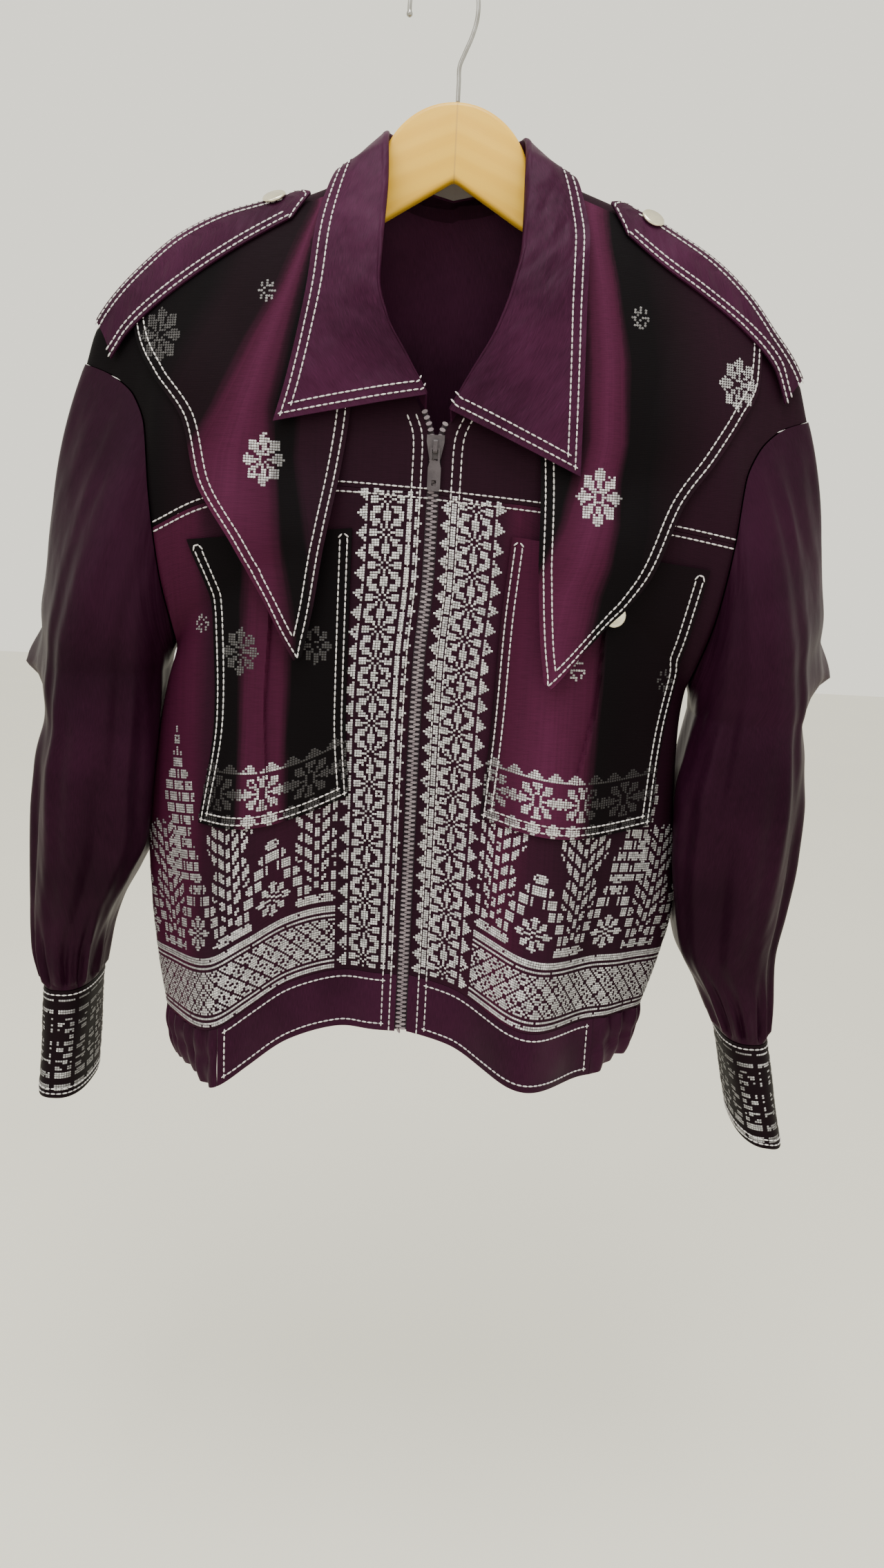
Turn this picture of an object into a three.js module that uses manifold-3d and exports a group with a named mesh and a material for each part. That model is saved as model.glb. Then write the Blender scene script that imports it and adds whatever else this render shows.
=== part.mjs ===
// Statement collar jacket: a satin and songket blouson that hangs on a wooden hanger.
// Millimetres, +Z up, the front faces -Y. Left and right are as seen from the front, so left is -X.
// The garment's own frame has x = 0 on its centre plane and z = 0 where a rod bears inside the hook;
// the group then moves it sideways, so that the part's origin is that bearing point.
import * as THREE from "three";
import { mergeVertices } from "three/addons/utils/BufferGeometryUtils.js";
import Module from "manifold-3d";

// ---------- driving dimensions ----------
const HOOK_OFFSET = 13.4; // from the hook's bearing to the garment's centre plane
const WALL = 1.2; // one layer of lined cloth
const SEAM = 0.3; // between two pieces that are sewn together
const NECK_X = 66; // from the centre to the neck end of the shoulder seam
const ZIP_HALF = 4.8; // from the zip's middle to a front's edge
const ARMHOLE_DEPTH = 44; // of the armhole in front of its seam, and behind it
const SHOULDER_ROUND = 132; // height over which the cloth rounds onto the shoulder seam
const BAND_HEIGHT = 49;
const SIDE_POWER = 2.3; // roundness of the body's side
const CUFF_WALL = 1.8;
const FLAP_LIFT = 3.8; // of the flap's outer face over the yoke's
const FLAP_FREE = 15; // of its point, which hangs in front of the pocket and its button
const POCKET_LIFT = { left: 2.4, right: 3.2 };
const PLEAT_LIFT = 4; // of a pocket's pleat over the pocket
const EPAULETTE_LIFT = 5.2;
const BUTTON_LIFT = { left: 6.2, right: 9 }; // of the pocket buttons over the front

// ---------- tables ----------
// The columns of a table by name: each row is one section, fold or corner.
const table = (names, rows) =>
  Object.fromEntries(names.split(" ").map((name, i) => [name, rows.map((row) => row[i])]));

// The outline of a side: down the armhole from the shoulder tip, then down the side seam.
const SIDE = table("zLeft xLeft zRight xRight", [
  [-287, 277, -302, 283], [-297, 251, -312, 258], [-312, 232, -330, 240], [-335, 222, -352, 231],
  [-385, 217, -400, 226], [-440, 211, -453, 219], [-497, 204, -510, 208], [-535, 213, -548, 205],
  [-587, 222, -594, 206], [-645, 228, -650, 211], [-709, 225, -694, 214], [-760, 219, -740, 206],
  [-802, 211, -784, 194],
]);
const UNDERARM = 6; // the row of SIDE at the underarm

// The shoulder seam, from the neck to the shoulder tip.
const SHOULDER = table("xLeft zLeft xRight zRight", [
  [NECK_X, -139, NECK_X, -136], [105, -157, 96, -146], [143, -169, 143, -163], [172, -178, 170, -176],
  [204, -194, 200, -193], [230, -215, 228, -216], [256, -242, 248, -239], [270, -264, 272, -270],
  [277, -287, 283, -302],
]);

// Where the body meets the waistband, from the centre to the side.
const BAND_TOP = table("xLeft zLeft xRight zRight", [
  [0, -752, 0, -752], [30, -752, 34, -758], [62, -754, 60, -767], [92, -760, 80, -773],
  [122, -774, 103, -777], [150, -789, 128, -780], [180, -797, 160, -782], [211, -802, 194, -784],
]);

// The seam between the satin yoke and the songket front.
const CHEST_SEAM = table("xLeft zLeft xRight zRight", [
  [5, -374, 5, -375], [80, -372, 80, -380], [170, -388, 176, -391], [217, -410, 226, -399],
]);

// The neckline's edge on a front, from the slider to the shoulder seam.
const NECKLINE = table("z x", [
  [-800, ZIP_HALF], [-345, ZIP_HALF], [-333, 5.6], [-318, 11], [-300, 21], [-279, 35], [-254, 47],
  [-226, 55], [-200, 59], [-170, 62], [-136, NECK_X],
]);

// How far the zip drifts to the left, and the depth of the body in front of and behind the seams.
const CENTRE = table("z drift front back", [
  [-850, -9, 50, 54], [-700, -9, 51, 54], [-562, -9, 55, 52], [-498, -8, 57, 50], [-435, -4, 57, 47],
  [-336, -3, 54, 43], [-250, -1, 46, 36], [-136, 0, 40, 30],
]);

// The folds that stand out of a front: middle at the top and at the hem, height, width, reach in z.
const FOLDS = {
  left: [
    { topX: 122, hemX: 152, depth: 66, width: 44, from: -430, to: -800 },
    { topX: 60, hemX: 48, depth: -7, width: 20, from: -520, to: -790 },
  ],
  right: [
    { topX: 120, hemX: 94, depth: 62, width: 42, from: -430, to: -790 },
    { topX: 175, hemX: 160, depth: 9, width: 16, from: -560, to: -780 },
  ],
};

// A sleeve below the underarm: its outer and inner edge and its depth each way.
const SLEEVE = {
  left: table("z outer inner depth", [
    [-520, 306, 214, 62], [-560, 307, 215, 66], [-600, 314, 217, 68], [-650, 319, 221, 64],
    [-690, 321, 238, 58], [-720, 322, 254, 52], [-750, 320, 265, 46], [-785, 312, 272, 42],
  ]),
  right: table("z outer inner depth", [
    [-533, 301, 215, 62], [-565, 304, 209, 66], [-602, 308, 203, 68], [-646, 308, 204, 64],
    [-690, 305, 211, 58], [-729, 301, 220, 52], [-766, 301, 243, 46], [-801, 301, 261, 42],
  ]),
};
const SLEEVE_BULGE = 13; // how far the sleeve's head stands out between the armhole and the elbow
const SLEEVE_FOLDS = 5; // soft folds down a sleeve
const SLEEVE_FOLD_DEPTH = 4.5;
const GATHER_DEPTH = 2.6; // of the gathers at the cuff

// The crease that sticks out at each elbow: its tip, its reach up and down and how far it stands out.
const ELBOW = {
  left: { z: -524, up: 92, down: 42, out: 48, angle: -26 },
  right: { z: -502, up: 112, down: 34, out: 44, angle: -26 },
};

// A cuff: the x of its middle at the top and bottom, and the height of both.
const CUFF = {
  left: { topX: 292, topZ: -785, bottomX: 298, bottomZ: -881, tilt: 0 },
  right: { topX: 281, topZ: -801, bottomX: 303, bottomZ: -893, tilt: 11 },
};
const CUFF_HALF = 20; // half of its width
const CUFF_DEPTH = 42; // half of its depth

// The statement flap: its inner and outer edge from the shoulder to the point.
const FLAP = {
  left: table("step xIn zIn xOut zOut", [
    [0, 74, -150, 238, -240], [0.12, 68, -196, 231, -274], [0.25, 65, -248, 215, -300],
    [0.4, 66, -308, 190, -333], [0.55, 72, -362, 180, -372], [0.7, 80, -410, 150, -418],
    [0.85, 88, -462, 122, -463], [1, 96, -499, 101, -502],
  ]),
  right: table("step xIn zIn xOut zOut", [
    [0, 74, -147, 238, -246], [0.12, 70, -196, 236, -286], [0.25, 70, -248, 223, -312],
    [0.4, 72, -308, 205, -342], [0.55, 76, -370, 184, -372], [0.7, 78, -424, 162, -424],
    [0.85, 83, -478, 126, -470], [1, 88, -510, 93, -514],
  ]),
};

// A patch pocket's outline: its outer and inner edge from the top to the bottom.
const POCKET = {
  left: table("step xOut zOut xIn zIn", [
    [0, 187, -416, 62, -402], [0.3, 166, -476, 62, -470], [0.6, 163, -548, 62, -540],
    [1, 174, -634, 58, -606],
  ]),
  right: table("step xOut zOut xIn zIn", [
    [0, 208, -419, 57, -402], [0.3, 196, -484, 52, -470], [0.6, 186, -552, 50, -540],
    [1, 181, -621, 46, -617],
  ]),
};
const POCKET_SAG = { left: 9, right: 9 }; // how much lower the pocket is in its middle
// The pocket's pleat: where it lies across the pocket, and how its layers stack.
const PLEAT = {
  left: { top: 0.42, bottom: 0.43 },
  right: { top: 0.45, bottom: 0.5 },
};

// The epaulette's lower edge.
const EPAULETTE = table("xLeft zLeft xRight zRight", [
  [104, -176, 116, -172], [122, -186, 133, -186], [157, -207, 159, -205], [187, -227, 190, -224],
  [214, -247, 223, -246], [237, -268, 246, -268], [250, -286, 259, -298],
]);
const EPAULETTE_ENDS = { left: { neck: 104, sleeve: 266 }, right: { neck: 116, sleeve: 273 } };

// The collar, from a front's tip round to the middle of the back: roll line, outer edge, and which
// way the cloth turns over (degrees from the front).
const COLLAR = {
  left: table("step xSeam ySeam zSeam xRoll yRoll zRoll xEdge yEdge zEdge turn", [
    [0, 11, -53, -314, 11, -60, -303, 122, -63, -329, 0],
    [0.1, 29, -50, -285, 26, -58, -278, 114, -62, -300, 6],
    [0.22, 44, -47, -255, 41, -56, -252, 107, -58, -266, 14],
    [0.34, 52, -43, -228, 48, -51, -224, 101, -52, -228, 22],
    [0.46, 56, -37, -200, 47, -42, -192, 98, -42, -192, 32],
    [0.58, 59, -28, -172, 46, -28, -156, 93, -28, -164, 48],
    [0.68, 62, -15, -150, 48, -13, -122, 85, -12, -142, 70],
    [0.78, 62, 5, -137, 49, 5, -109, 80, 14, -141, 100],
    [0.88, 42, 17, -142, 34, 19, -110, 54, 36, -156, 140],
    [1, 0, 26, -150, 0, 26, -113, 0, 46, -164, 180],
  ]),
  right: table("step xSeam ySeam zSeam xRoll yRoll zRoll xEdge yEdge zEdge turn", [
    [0, 7, -54, -322, 6, -61, -313, 104, -64, -357, 0],
    [0.1, 23, -51, -293, 20, -59, -286, 103, -63, -318, 6],
    [0.22, 40, -48, -262, 35, -57, -258, 102, -59, -276, 14],
    [0.34, 51, -43, -232, 46, -51, -224, 101, -53, -232, 22],
    [0.46, 56, -37, -200, 51, -42, -192, 101, -42, -192, 32],
    [0.58, 59, -28, -172, 51, -28, -156, 97, -28, -164, 48],
    [0.68, 62, -15, -150, 51, -13, -122, 88, -12, -139, 70],
    [0.78, 62, 5, -137, 50, 5, -109, 80, 14, -138, 100],
    [0.88, 42, 17, -142, 34, 19, -110, 54, 36, -156, 140],
    [1, 0, 26, -150, 0, 26, -113, 0, 46, -164, 180],
  ]),
};
const COLLAR_ROLL = 2.6; // radius of the roll between the collar's stand and its leaf

// The zip, its slider and its pull tab.
const ZIP = { chain: 4.2, proud: 1.4, tape: 11, top: -343, bottom: -800, openLeft: -316, openRight: -324 };
const SLIDER = { width: 13, length: 17, thick: 2.2, z: -341, bridge: 3 };
const TAB = { width: 9.6, neck: 7.4, length: 31, thick: 1.6, window: 8.6, eye: 2.2 };
const BUTTON = { radius: 9, thick: 2.6 };
const BUTTONS = {
  left: { epaulette: [131, -169], pocket: [118, -452] },
  right: { epaulette: [147, -170], pocket: [136, -456] },
};
const FRONT_BAND_COLUMNS = { left: 7, right: 8 }; // of the front's columns, to the elastic
const GATHER_PITCH = 19, ELASTIC_DEPTH = 2.4;

// The hanger's head and arms, and its hook.
const HANGER = { thick: 12, headTop: -90, headRadius: 57, armX: 222, apex: -143, below: 5, bevel: 3.5 };
const HOOK = { wire: 1.6, loop: 25, loopX: -HOOK_OFFSET };

// ---------- small maths ----------
const lerp = (a, b, t) => a + (b - a) * t;
const clamp = (v, low = 0, high = 1) => Math.min(high, Math.max(low, v));
const ease = (t) => clamp(t) ** 2 * (3 - 2 * clamp(t));
const bell = (t) => Math.exp(-t * t);
const steps = (n, from = 0, to = 1) => Array.from({ length: n + 1 }, (_, i) => lerp(from, to, i / n));
const round = (t, power) => Math.max(0, 1 - Math.abs(t) ** power) ** (1 / power);

// A smooth curve through the points of two columns, level beyond its ends.
function smooth(inputs, outputs) {
  const order = inputs.map((_, i) => i).sort((i, j) => inputs[i] - inputs[j]);
  const x = order.map((i) => inputs[i]), y = order.map((i) => outputs[i]);
  const rise = x.slice(1).map((v, i) => (y[i + 1] - y[i]) / (v - x[i]));
  const slope = x.map((_, i) => {
    if (i === 0 || i === x.length - 1) return rise[i === 0 ? 0 : i - 1];
    return rise[i - 1] * rise[i] <= 0 ? 0 : (2 * rise[i - 1] * rise[i]) / (rise[i - 1] + rise[i]);
  });
  return (at) => {
    if (at <= x[0]) return y[0];
    if (at >= x[x.length - 1]) return y[y.length - 1];
    const i = x.findIndex((v) => v > at) - 1, h = x[i + 1] - x[i], t = (at - x[i]) / h;
    return y[i] + t * (h * slope[i] + t * (3 * (y[i + 1] - y[i]) - h * (2 * slope[i] + slope[i + 1]) +
      t * (h * (slope[i] + slope[i + 1]) - 2 * (y[i + 1] - y[i]))));
  };
}
const column = (of, from, to) => smooth(of[from], of[to]);
const titled = (side) => side[0].toUpperCase() + side.slice(1);

// ---------- finishes ----------
const finish = (color, roughness, metalness = 0) =>
  new THREE.MeshStandardMaterial({ color, roughness, metalness });
const SATIN = finish(0x3a1230, 0.38);
const SONGKET = finish(0x2c0c26, 0.6);
const WOOD = finish(0xd9b26a, 0.5);
const STEEL = finish(0xb9bcc0, 0.3, 1);
const BUTTON_METAL = finish(0xd8d2c4, 0.25, 1);
const ZIP_PLASTIC = finish(0x8d7588, 0.5);
const LABEL_CLOTH = finish(0xd8d4cc, 0.8);

const jacket = new THREE.Group();
jacket.position.x = HOOK_OFFSET;
function add(name, geometry, material) {
  const mesh = new THREE.Mesh(geometry, material);
  mesh.name = name;
  jacket.add(mesh);
  return mesh;
}

// ---------- walls of cloth ----------
// One body from two matching grids of points, its outer and its inner face.
function shell(outer, inner, closedRound = false) {
  const rows = outer.length, cols = outer[0].length;
  const position = [...outer.flat(), ...inner.flat()].flatMap((p) => [p.x, p.y, p.z]);
  const at = (face, r, c) => face * rows * cols + r * cols + (c % cols);
  const index = [];
  const quad = (a, b, c, d) => index.push(a, b, c, a, c, d);
  const spans = closedRound ? cols : cols - 1;
  for (let r = 0; r < rows - 1; r++)
    for (let c = 0; c < spans; c++) {
      quad(at(0, r, c), at(0, r, c + 1), at(0, r + 1, c + 1), at(0, r + 1, c));
      quad(at(1, r, c), at(1, r + 1, c), at(1, r + 1, c + 1), at(1, r, c + 1));
    }
  for (let c = 0; c < spans; c++) {
    quad(at(0, 0, c + 1), at(0, 0, c), at(1, 0, c), at(1, 0, c + 1));
    quad(at(0, rows - 1, c), at(0, rows - 1, c + 1), at(1, rows - 1, c + 1), at(1, rows - 1, c));
  }
  if (!closedRound)
    for (let r = 0; r < rows - 1; r++) {
      quad(at(0, r, 0), at(0, r + 1, 0), at(1, r + 1, 0), at(1, r, 0));
      quad(at(0, r + 1, cols - 1), at(0, r, cols - 1), at(1, r, cols - 1), at(1, r + 1, cols - 1));
    }
  const geometry = new THREE.BufferGeometry();
  geometry.setAttribute("position", new THREE.Float32BufferAttribute(position, 3));
  geometry.setIndex(index);
  return geometry;
}

// The direction out of a grid at each of its points.
function normals(grid, closedRound, outward) {
  const rows = grid.length, cols = grid[0].length;
  return grid.map((row, r) => row.map((_, c) => {
    const left = closedRound ? (c + cols - 1) % cols : Math.max(0, c - 1);
    const right = closedRound ? (c + 1) % cols : Math.min(cols - 1, c + 1);
    const across = grid[r][right].clone().sub(grid[r][left]);
    const along = grid[Math.min(rows - 1, r + 1)][c].clone().sub(grid[Math.max(0, r - 1)][c]);
    return across.cross(along).multiplyScalar(outward).normalize();
  }));
}

// A wall of cloth whose outer face is the grid. `outward` is 1 where columns x rows points out.
// `trim` may turn the direction of an edge, so that two pieces that meet there share its plane.
function cloth(name, grid, material, { wall = WALL, outward = 1, closedRound = false, trim } = {}) {
  const out = normals(grid, closedRound, outward);
  if (trim) out.forEach((row, r) => row.forEach((n, c) => trim(n, r, c)));
  const inner = grid.map((row, r) => row.map((p, c) => p.clone().addScaledVector(out[r][c], -wall)));
  const geometry = shell(grid, inner, closedRound);
  if (outward < 0) {
    const i = geometry.index.array;
    for (let k = 0; k < i.length; k += 3) [i[k + 1], i[k + 2]] = [i[k + 2], i[k + 1]];
  }
  return add(name, geometry, material);
}
const flatten = (n, axis, spare) => {
  n[axis] = 0;
  if (n.length() < 0.2) n.copy(spare);
  n.normalize();
};

// ---------- the body's surfaces ----------
// One half of the front or back. u runs from the centre to the side, v from the waistband to the
// shoulder. X is measured away from the centre plane, on either side.
function half(side, back) {
  const sign = side === "left" ? -1 : 1, S = titled(side);
  const edgeX = column(SIDE, "z" + S, "x" + S);
  const shoulderZ = column(SHOULDER, "x" + S, "z" + S);
  const bandZ = column(BAND_TOP, "x" + S, "z" + S);
  const neckX = column(NECKLINE, "z", "x");
  const depthAt = column(CENTRE, "z", back ? "back" : "front");
  const drift = column(CENTRE, "z", "drift");
  const tipX = SIDE["x" + S][0];
  const hemX = SIDE["x" + S][SIDE.zLeft.length - 1];
  const innerTop = back ? 0 : NECK_X;
  const neckDip = (x) => 15 * Math.max(0, 1 - (x / NECK_X) ** 2);
  const top = (u) => {
    const x = lerp(innerTop, tipX, u);
    return shoulderZ(x) - (back ? neckDip(x) : 0);
  };
  const bottom = (u) => (back ? lerp(-790, bandZ(hemX), u * u) : bandZ(lerp(0, hemX, u)));
  const Z = (u, v) => lerp(bottom(u), top(u), v);
  const underarm = (SIDE["z" + S][UNDERARM] - bottom(1)) / (top(1) - bottom(1));
  const X = (u, v) => lerp(back ? 0 : neckX(Z(0, v)), edgeX(Z(1, v)), u);
  const ring = (v) => ARMHOLE_DEPTH * Math.sqrt(Math.max(0, 4 * ((v - underarm) / (1 - underarm)) *
    (1 - (v - underarm) / (1 - underarm)))) * (v > underarm ? 1 : 0);
  const roundStart = 1 - SHOULDER_ROUND / (top(0.5) - bottom(0.5));
  const lean = (v) => Math.sqrt(Math.max(0, 1 - Math.max(0, (v - roundStart) / (1 - roundStart)) ** 2));
  const fold = (x, z) => back ? 0 : FOLDS[side].reduce((sum, f) => {
    const t = clamp((f.from - z) / (f.from - f.to));
    return sum + f.depth * t ** 1.35 * bell((x - lerp(f.topX, f.hemX, t)) / f.width);
  }, 0);
  const Y = (u, v) => {
    const z = Z(u, v), x = X(u, v), side = round(u, SIDE_POWER);
    const neck = back ? Math.max(0, 1 - (lerp(innerTop, tipX, u) / NECK_X) ** 2) : 0;
    const centre = depthAt(z) * lerp(lean(v), 1, neck);
    const depth = lerp(ring(v), centre, side) + fold(x, z) * Math.sqrt(side);
    return (back ? 1 : -1) * Math.max(SEAM / 2, depth);
  };
  const point = (u, v) => new THREE.Vector3(
    sign * X(u, v) + (back ? 0 : drift(Z(u, v)) * (1 - u)), Y(u, v), Z(u, v));
  // The surface moved out by a lift.
  const lifted = (u, v, lift) => {
    const e = 0.004, a = clamp(u, e, 1 - e), b = clamp(v, e, 1 - e);
    const across = point(a + e, b).sub(point(a - e, b)), along = point(a, b + e).sub(point(a, b - e));
    const out = across.cross(along).normalize();
    if (out.y * (back ? 1 : -1) < 0) out.negate();
    return point(u, v).addScaledVector(out, lift);
  };
  // The u and v of a place seen from the front, by halving the range of u.
  const find = (x, z) => {
    const level = (u) => clamp((z - bottom(u)) / (top(u) - bottom(u)));
    let low = 0, high = 1;
    for (let i = 0; i < 24; i++) {
      const u = (low + high) / 2, shift = back ? 0 : sign * drift(z) * (1 - u);
      if (X(u, level(u)) + shift < x) low = u; else high = u;
    }
    return [low, level(low)];
  };
  // The v at which a column crosses a seam that is given by its x and z.
  const crossing = (seam) => (u) => {
    let v = 0.6;
    for (let i = 0; i < 12; i++) v = (seam(X(u, v)) - bottom(u)) / (top(u) - bottom(u));
    return v;
  };
  return { side, sign, S, point, lifted, find, crossing, underarm, X, Y, Z, top, bottom, edgeX, drift, ring };
}
const FRONT = { left: half("left", false), right: half("right", false) };
const BACK = { left: half("left", true), right: half("right", true) };
const SIDES = ["left", "right"];
// Columns that lie closer together towards the side, where the cloth turns.
const sideways = (n) => steps(n).map((t) => lerp(t, Math.sin((t * Math.PI) / 2), 0.5));

// Rows that lie closer together towards the shoulder seam.
const shoulderward = (n, from, to) => steps(n).map((t) => lerp(from, to, 1 - (1 - t) ** 1.6));

const COLS = 12, LOW_ROWS = 9, ARM_ROWS = 5, YOKE_ROWS = 8;
const armholes = { left: { front: [], back: [] }, right: { front: [], back: [] } };

// ---------- songket fronts and satin yokes ----------
function makeFront(side) {
  const f = FRONT[side], seam = f.crossing(column(CHEST_SEAM, "x" + f.S, "z" + f.S));
  const under = f.underarm / seam(1);
  const rows = [...steps(LOW_ROWS, 0, under), ...steps(ARM_ROWS, under, 1).slice(1)];
  const across = sideways(COLS);
  const gap = SEAM / 2 / 600;
  const lower = rows.map((t) => across.map((u) => f.point(u, t * (seam(u) - gap))));
  const upper = shoulderward(YOKE_ROWS, 0, 1).map((t) => across.map((u) => f.point(u, lerp(seam(u) + gap, 1, t))));
  const spare = new THREE.Vector3(f.sign, 0, 0);
  const outward = side === "left" ? -1 : 1;
  cloth("front_" + side, lower, SONGKET, {
    outward,
    trim: (n, r, c) => {
      if (c === 0) flatten(n, "x", new THREE.Vector3(0, -1, 0));
      if (c === COLS) flatten(n, r <= LOW_ROWS ? "y" : "x", spare);
      if (r === 0 || r === rows.length - 1) flatten(n, "z", spare);
    },
  });
  cloth("yoke_" + side, upper, SATIN, {
    outward,
    trim: (n, r, c) => {
      if (c === COLS) flatten(n, "x", new THREE.Vector3(0, 0, 1));
      if (r === YOKE_ROWS) flatten(n, "y", new THREE.Vector3(0, 0, 1));
      if (r === 0) flatten(n, "z", spare);
    },
  });
  const edge = (grid) => grid.map((row) => row[COLS]);
  armholes[side].front = [...edge(upper).reverse(), ...edge(lower).slice(LOW_ROWS, -1).reverse()];
}

// ---------- back ----------
const BACK_LOW = 7, BACK_ARM = 8, BACK_COLS = 10;
const backPanel = [];
function makeBack() {
  const across = sideways(BACK_COLS);
  const grid = steps(BACK_LOW + BACK_ARM).map((_, r) => {
    const row = (side) => across.map((u) => {
      const b = BACK[side], low = b.underarm;
      const v = r <= BACK_LOW ? (low * r) / BACK_LOW : shoulderward(BACK_ARM, low, 1)[r - BACK_LOW];
      return b.point(u, v);
    });
    return [...row("left").reverse(), ...row("right").slice(1)];
  });
  const last = grid[0].length - 1;
  backPanel.push(...grid);
  cloth("back", grid, SONGKET, {
    outward: -1,
    trim: (n, r, c) => {
      if (c === 0 || c === last) flatten(n, r <= BACK_LOW ? "y" : "x", new THREE.Vector3(0, 0, 1));
      const onShoulder = c <= BACK_COLS - 2 || c >= last - BACK_COLS + 2;
      if (r === grid.length - 1 && onShoulder) flatten(n, "y", new THREE.Vector3(0, 0, 1));
    },
  });
  armholes.left.back = grid.slice(BACK_LOW + 1, -1).map((row) => row[0]);
  armholes.right.back = grid.slice(BACK_LOW + 1, -1).map((row) => row[last]);
}

// The plain satin that faces the inside of the back, where the open neck shows it.
function makeFacing() {
  const middle = BACK_COLS, reach = 3;
  const out = normals(backPanel, false, -1);
  const grid = backPanel.slice(BACK_LOW + 2, -1).map((row, i) => {
    const r = i + BACK_LOW + 2;
    return row.slice(middle - reach, middle + reach + 1).map((p, j) =>
      p.clone().addScaledVector(out[r][middle - reach + j], -WALL - SEAM));
  });
  cloth("back_facing", grid, SATIN, { outward: -1, wall: 1 });
}

// ---------- sleeves and cuffs ----------
const HEAD_ROWS = 7, ARM_LENGTH_ROWS = 10;
function makeSleeve(side) {
  const f = FRONT[side], sleeve = SLEEVE[side], elbow = ELBOW[side], cuff = CUFF[side];
  const outer = column(sleeve, "z", "outer"), inner = column(sleeve, "z", "inner");
  const depth = column(sleeve, "z", "depth");
  const { front, back } = armholes[side];
  const seam = [...front, ...back];
  const angles = seam.map((_, k) => k < front.length
    ? (180 * k) / (front.length - 1) : 180 + (180 * (k - front.length + 1)) / (back.length + 1));
  const startZ = sleeve.z[0], endZ = sleeve.z[sleeve.z.length - 1];
  // The body's own half-width at a depth, so that the sleeve hangs clear of it.
  const bodyX = (y, z) => {
    const v = (z - f.bottom(1)) / (f.top(1) - f.bottom(1));
    const d = Math.abs(y > 0 ? BACK[side].Y(0, v) : f.Y(0, v));
    return f.edgeX(z) * round(clamp(Math.abs(y) / d, 0, 0.999), SIDE_POWER);
  };
  const section = (angle, z, k) => {
    const a = THREE.MathUtils.degToRad(angle), power = 2 / 2.5;
    const c = Math.cos(a), s = Math.sin(a), down = (startZ - z) / (startZ - endZ);
    const soft = SLEEVE_FOLD_DEPTH * Math.sin(SLEEVE_FOLDS * a + 1) * Math.sin(Math.PI * clamp(down * 0.9 + 0.1));
    const gather = (k % 2 ? 1 : -1) * GATHER_DEPTH * ease((down - 0.8) / 0.14) * (1 - ease((down - 0.97) / 0.03));
    const middle = (outer(z) + inner(z)) / 2, wide = (outer(z) - inner(z)) / 2 + soft * 0.5 + gather;
    const deep = depth(z) + soft + gather;
    let x = middle + wide * Math.sign(c) * Math.abs(c) ** power;
    let y = -deep * Math.sign(s) * Math.abs(s) ** power;
    if (z < startZ + 30) x = Math.max(x, bodyX(y, z) + 4);
    return new THREE.Vector3(f.sign * x, y, z);
  };
  // The crease that sticks out backwards at the elbow.
  const creased = (p, angle) => {
    const turn = ((angle - elbow.angle + 540) % 360) - 180;
    const rise = p.z > elbow.z ? 1 - (p.z - elbow.z) / elbow.up : 1 - (elbow.z - p.z) / elbow.down;
    const out = elbow.out * clamp(rise) ** 1.2 * bell(turn / 24);
    return p.add(new THREE.Vector3(f.sign * out * 0.9, out * 0.3, 0));
  };
  const head = steps(HEAD_ROWS).map((t) => seam.map((p, k) => {
    const a = THREE.MathUtils.degToRad(angles[k]);
    const target = section(angles[k], startZ, k);
    const start = p.clone().add(new THREE.Vector3(f.sign * (1 + 0.6 * Math.max(0, Math.cos(a))), 0, 0));
    const q = start.lerp(target, t);
    const bulge = SLEEVE_BULGE * Math.sin(Math.PI * t) ** 0.8 * (0.5 + 0.5 * Math.cos(a));
    q.x += f.sign * bulge;
    q.y += -10 * Math.sin(a) * Math.sin(Math.PI * t);
    return creased(q, angles[k]);
  }));
  const arm = steps(ARM_LENGTH_ROWS, startZ, endZ).slice(1).map((z) =>
    seam.map((_, k) => creased(section(angles[k], z, k), angles[k])));
  cloth("sleeve_" + side, [...head, ...arm], SATIN, {
    closedRound: true,
    outward: side === "left" ? -1 : 1,
    trim: (n, r) => { if (r === 0) flatten(n, "x", new THREE.Vector3(0, 0, -1)); },
  });
  const tube = steps(2).map((t) => angles.map((angle) => {
    const a = THREE.MathUtils.degToRad(angle), power = 2 / 2.6;
    const c = Math.cos(a), s = Math.sin(a);
    const x = CUFF_HALF * Math.sign(c) * Math.abs(c) ** power + lerp(cuff.topX, cuff.bottomX, t);
    const z = lerp(cuff.topZ - SEAM * 2, cuff.bottomZ, t);
    const lean = THREE.MathUtils.degToRad(cuff.tilt);
    return new THREE.Vector3(f.sign * x, -CUFF_DEPTH * Math.sign(s) * Math.abs(s) ** power,
      z - c * CUFF_HALF * Math.sin(lean) * t);
  }));
  cloth("cuff_" + side, tube, SONGKET, {
    closedRound: true, wall: CUFF_WALL, outward: side === "left" ? -1 : 1,
  });
}

SIDES.forEach(makeFront);
makeBack();
makeFacing();
SIDES.forEach(makeSleeve);


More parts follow.
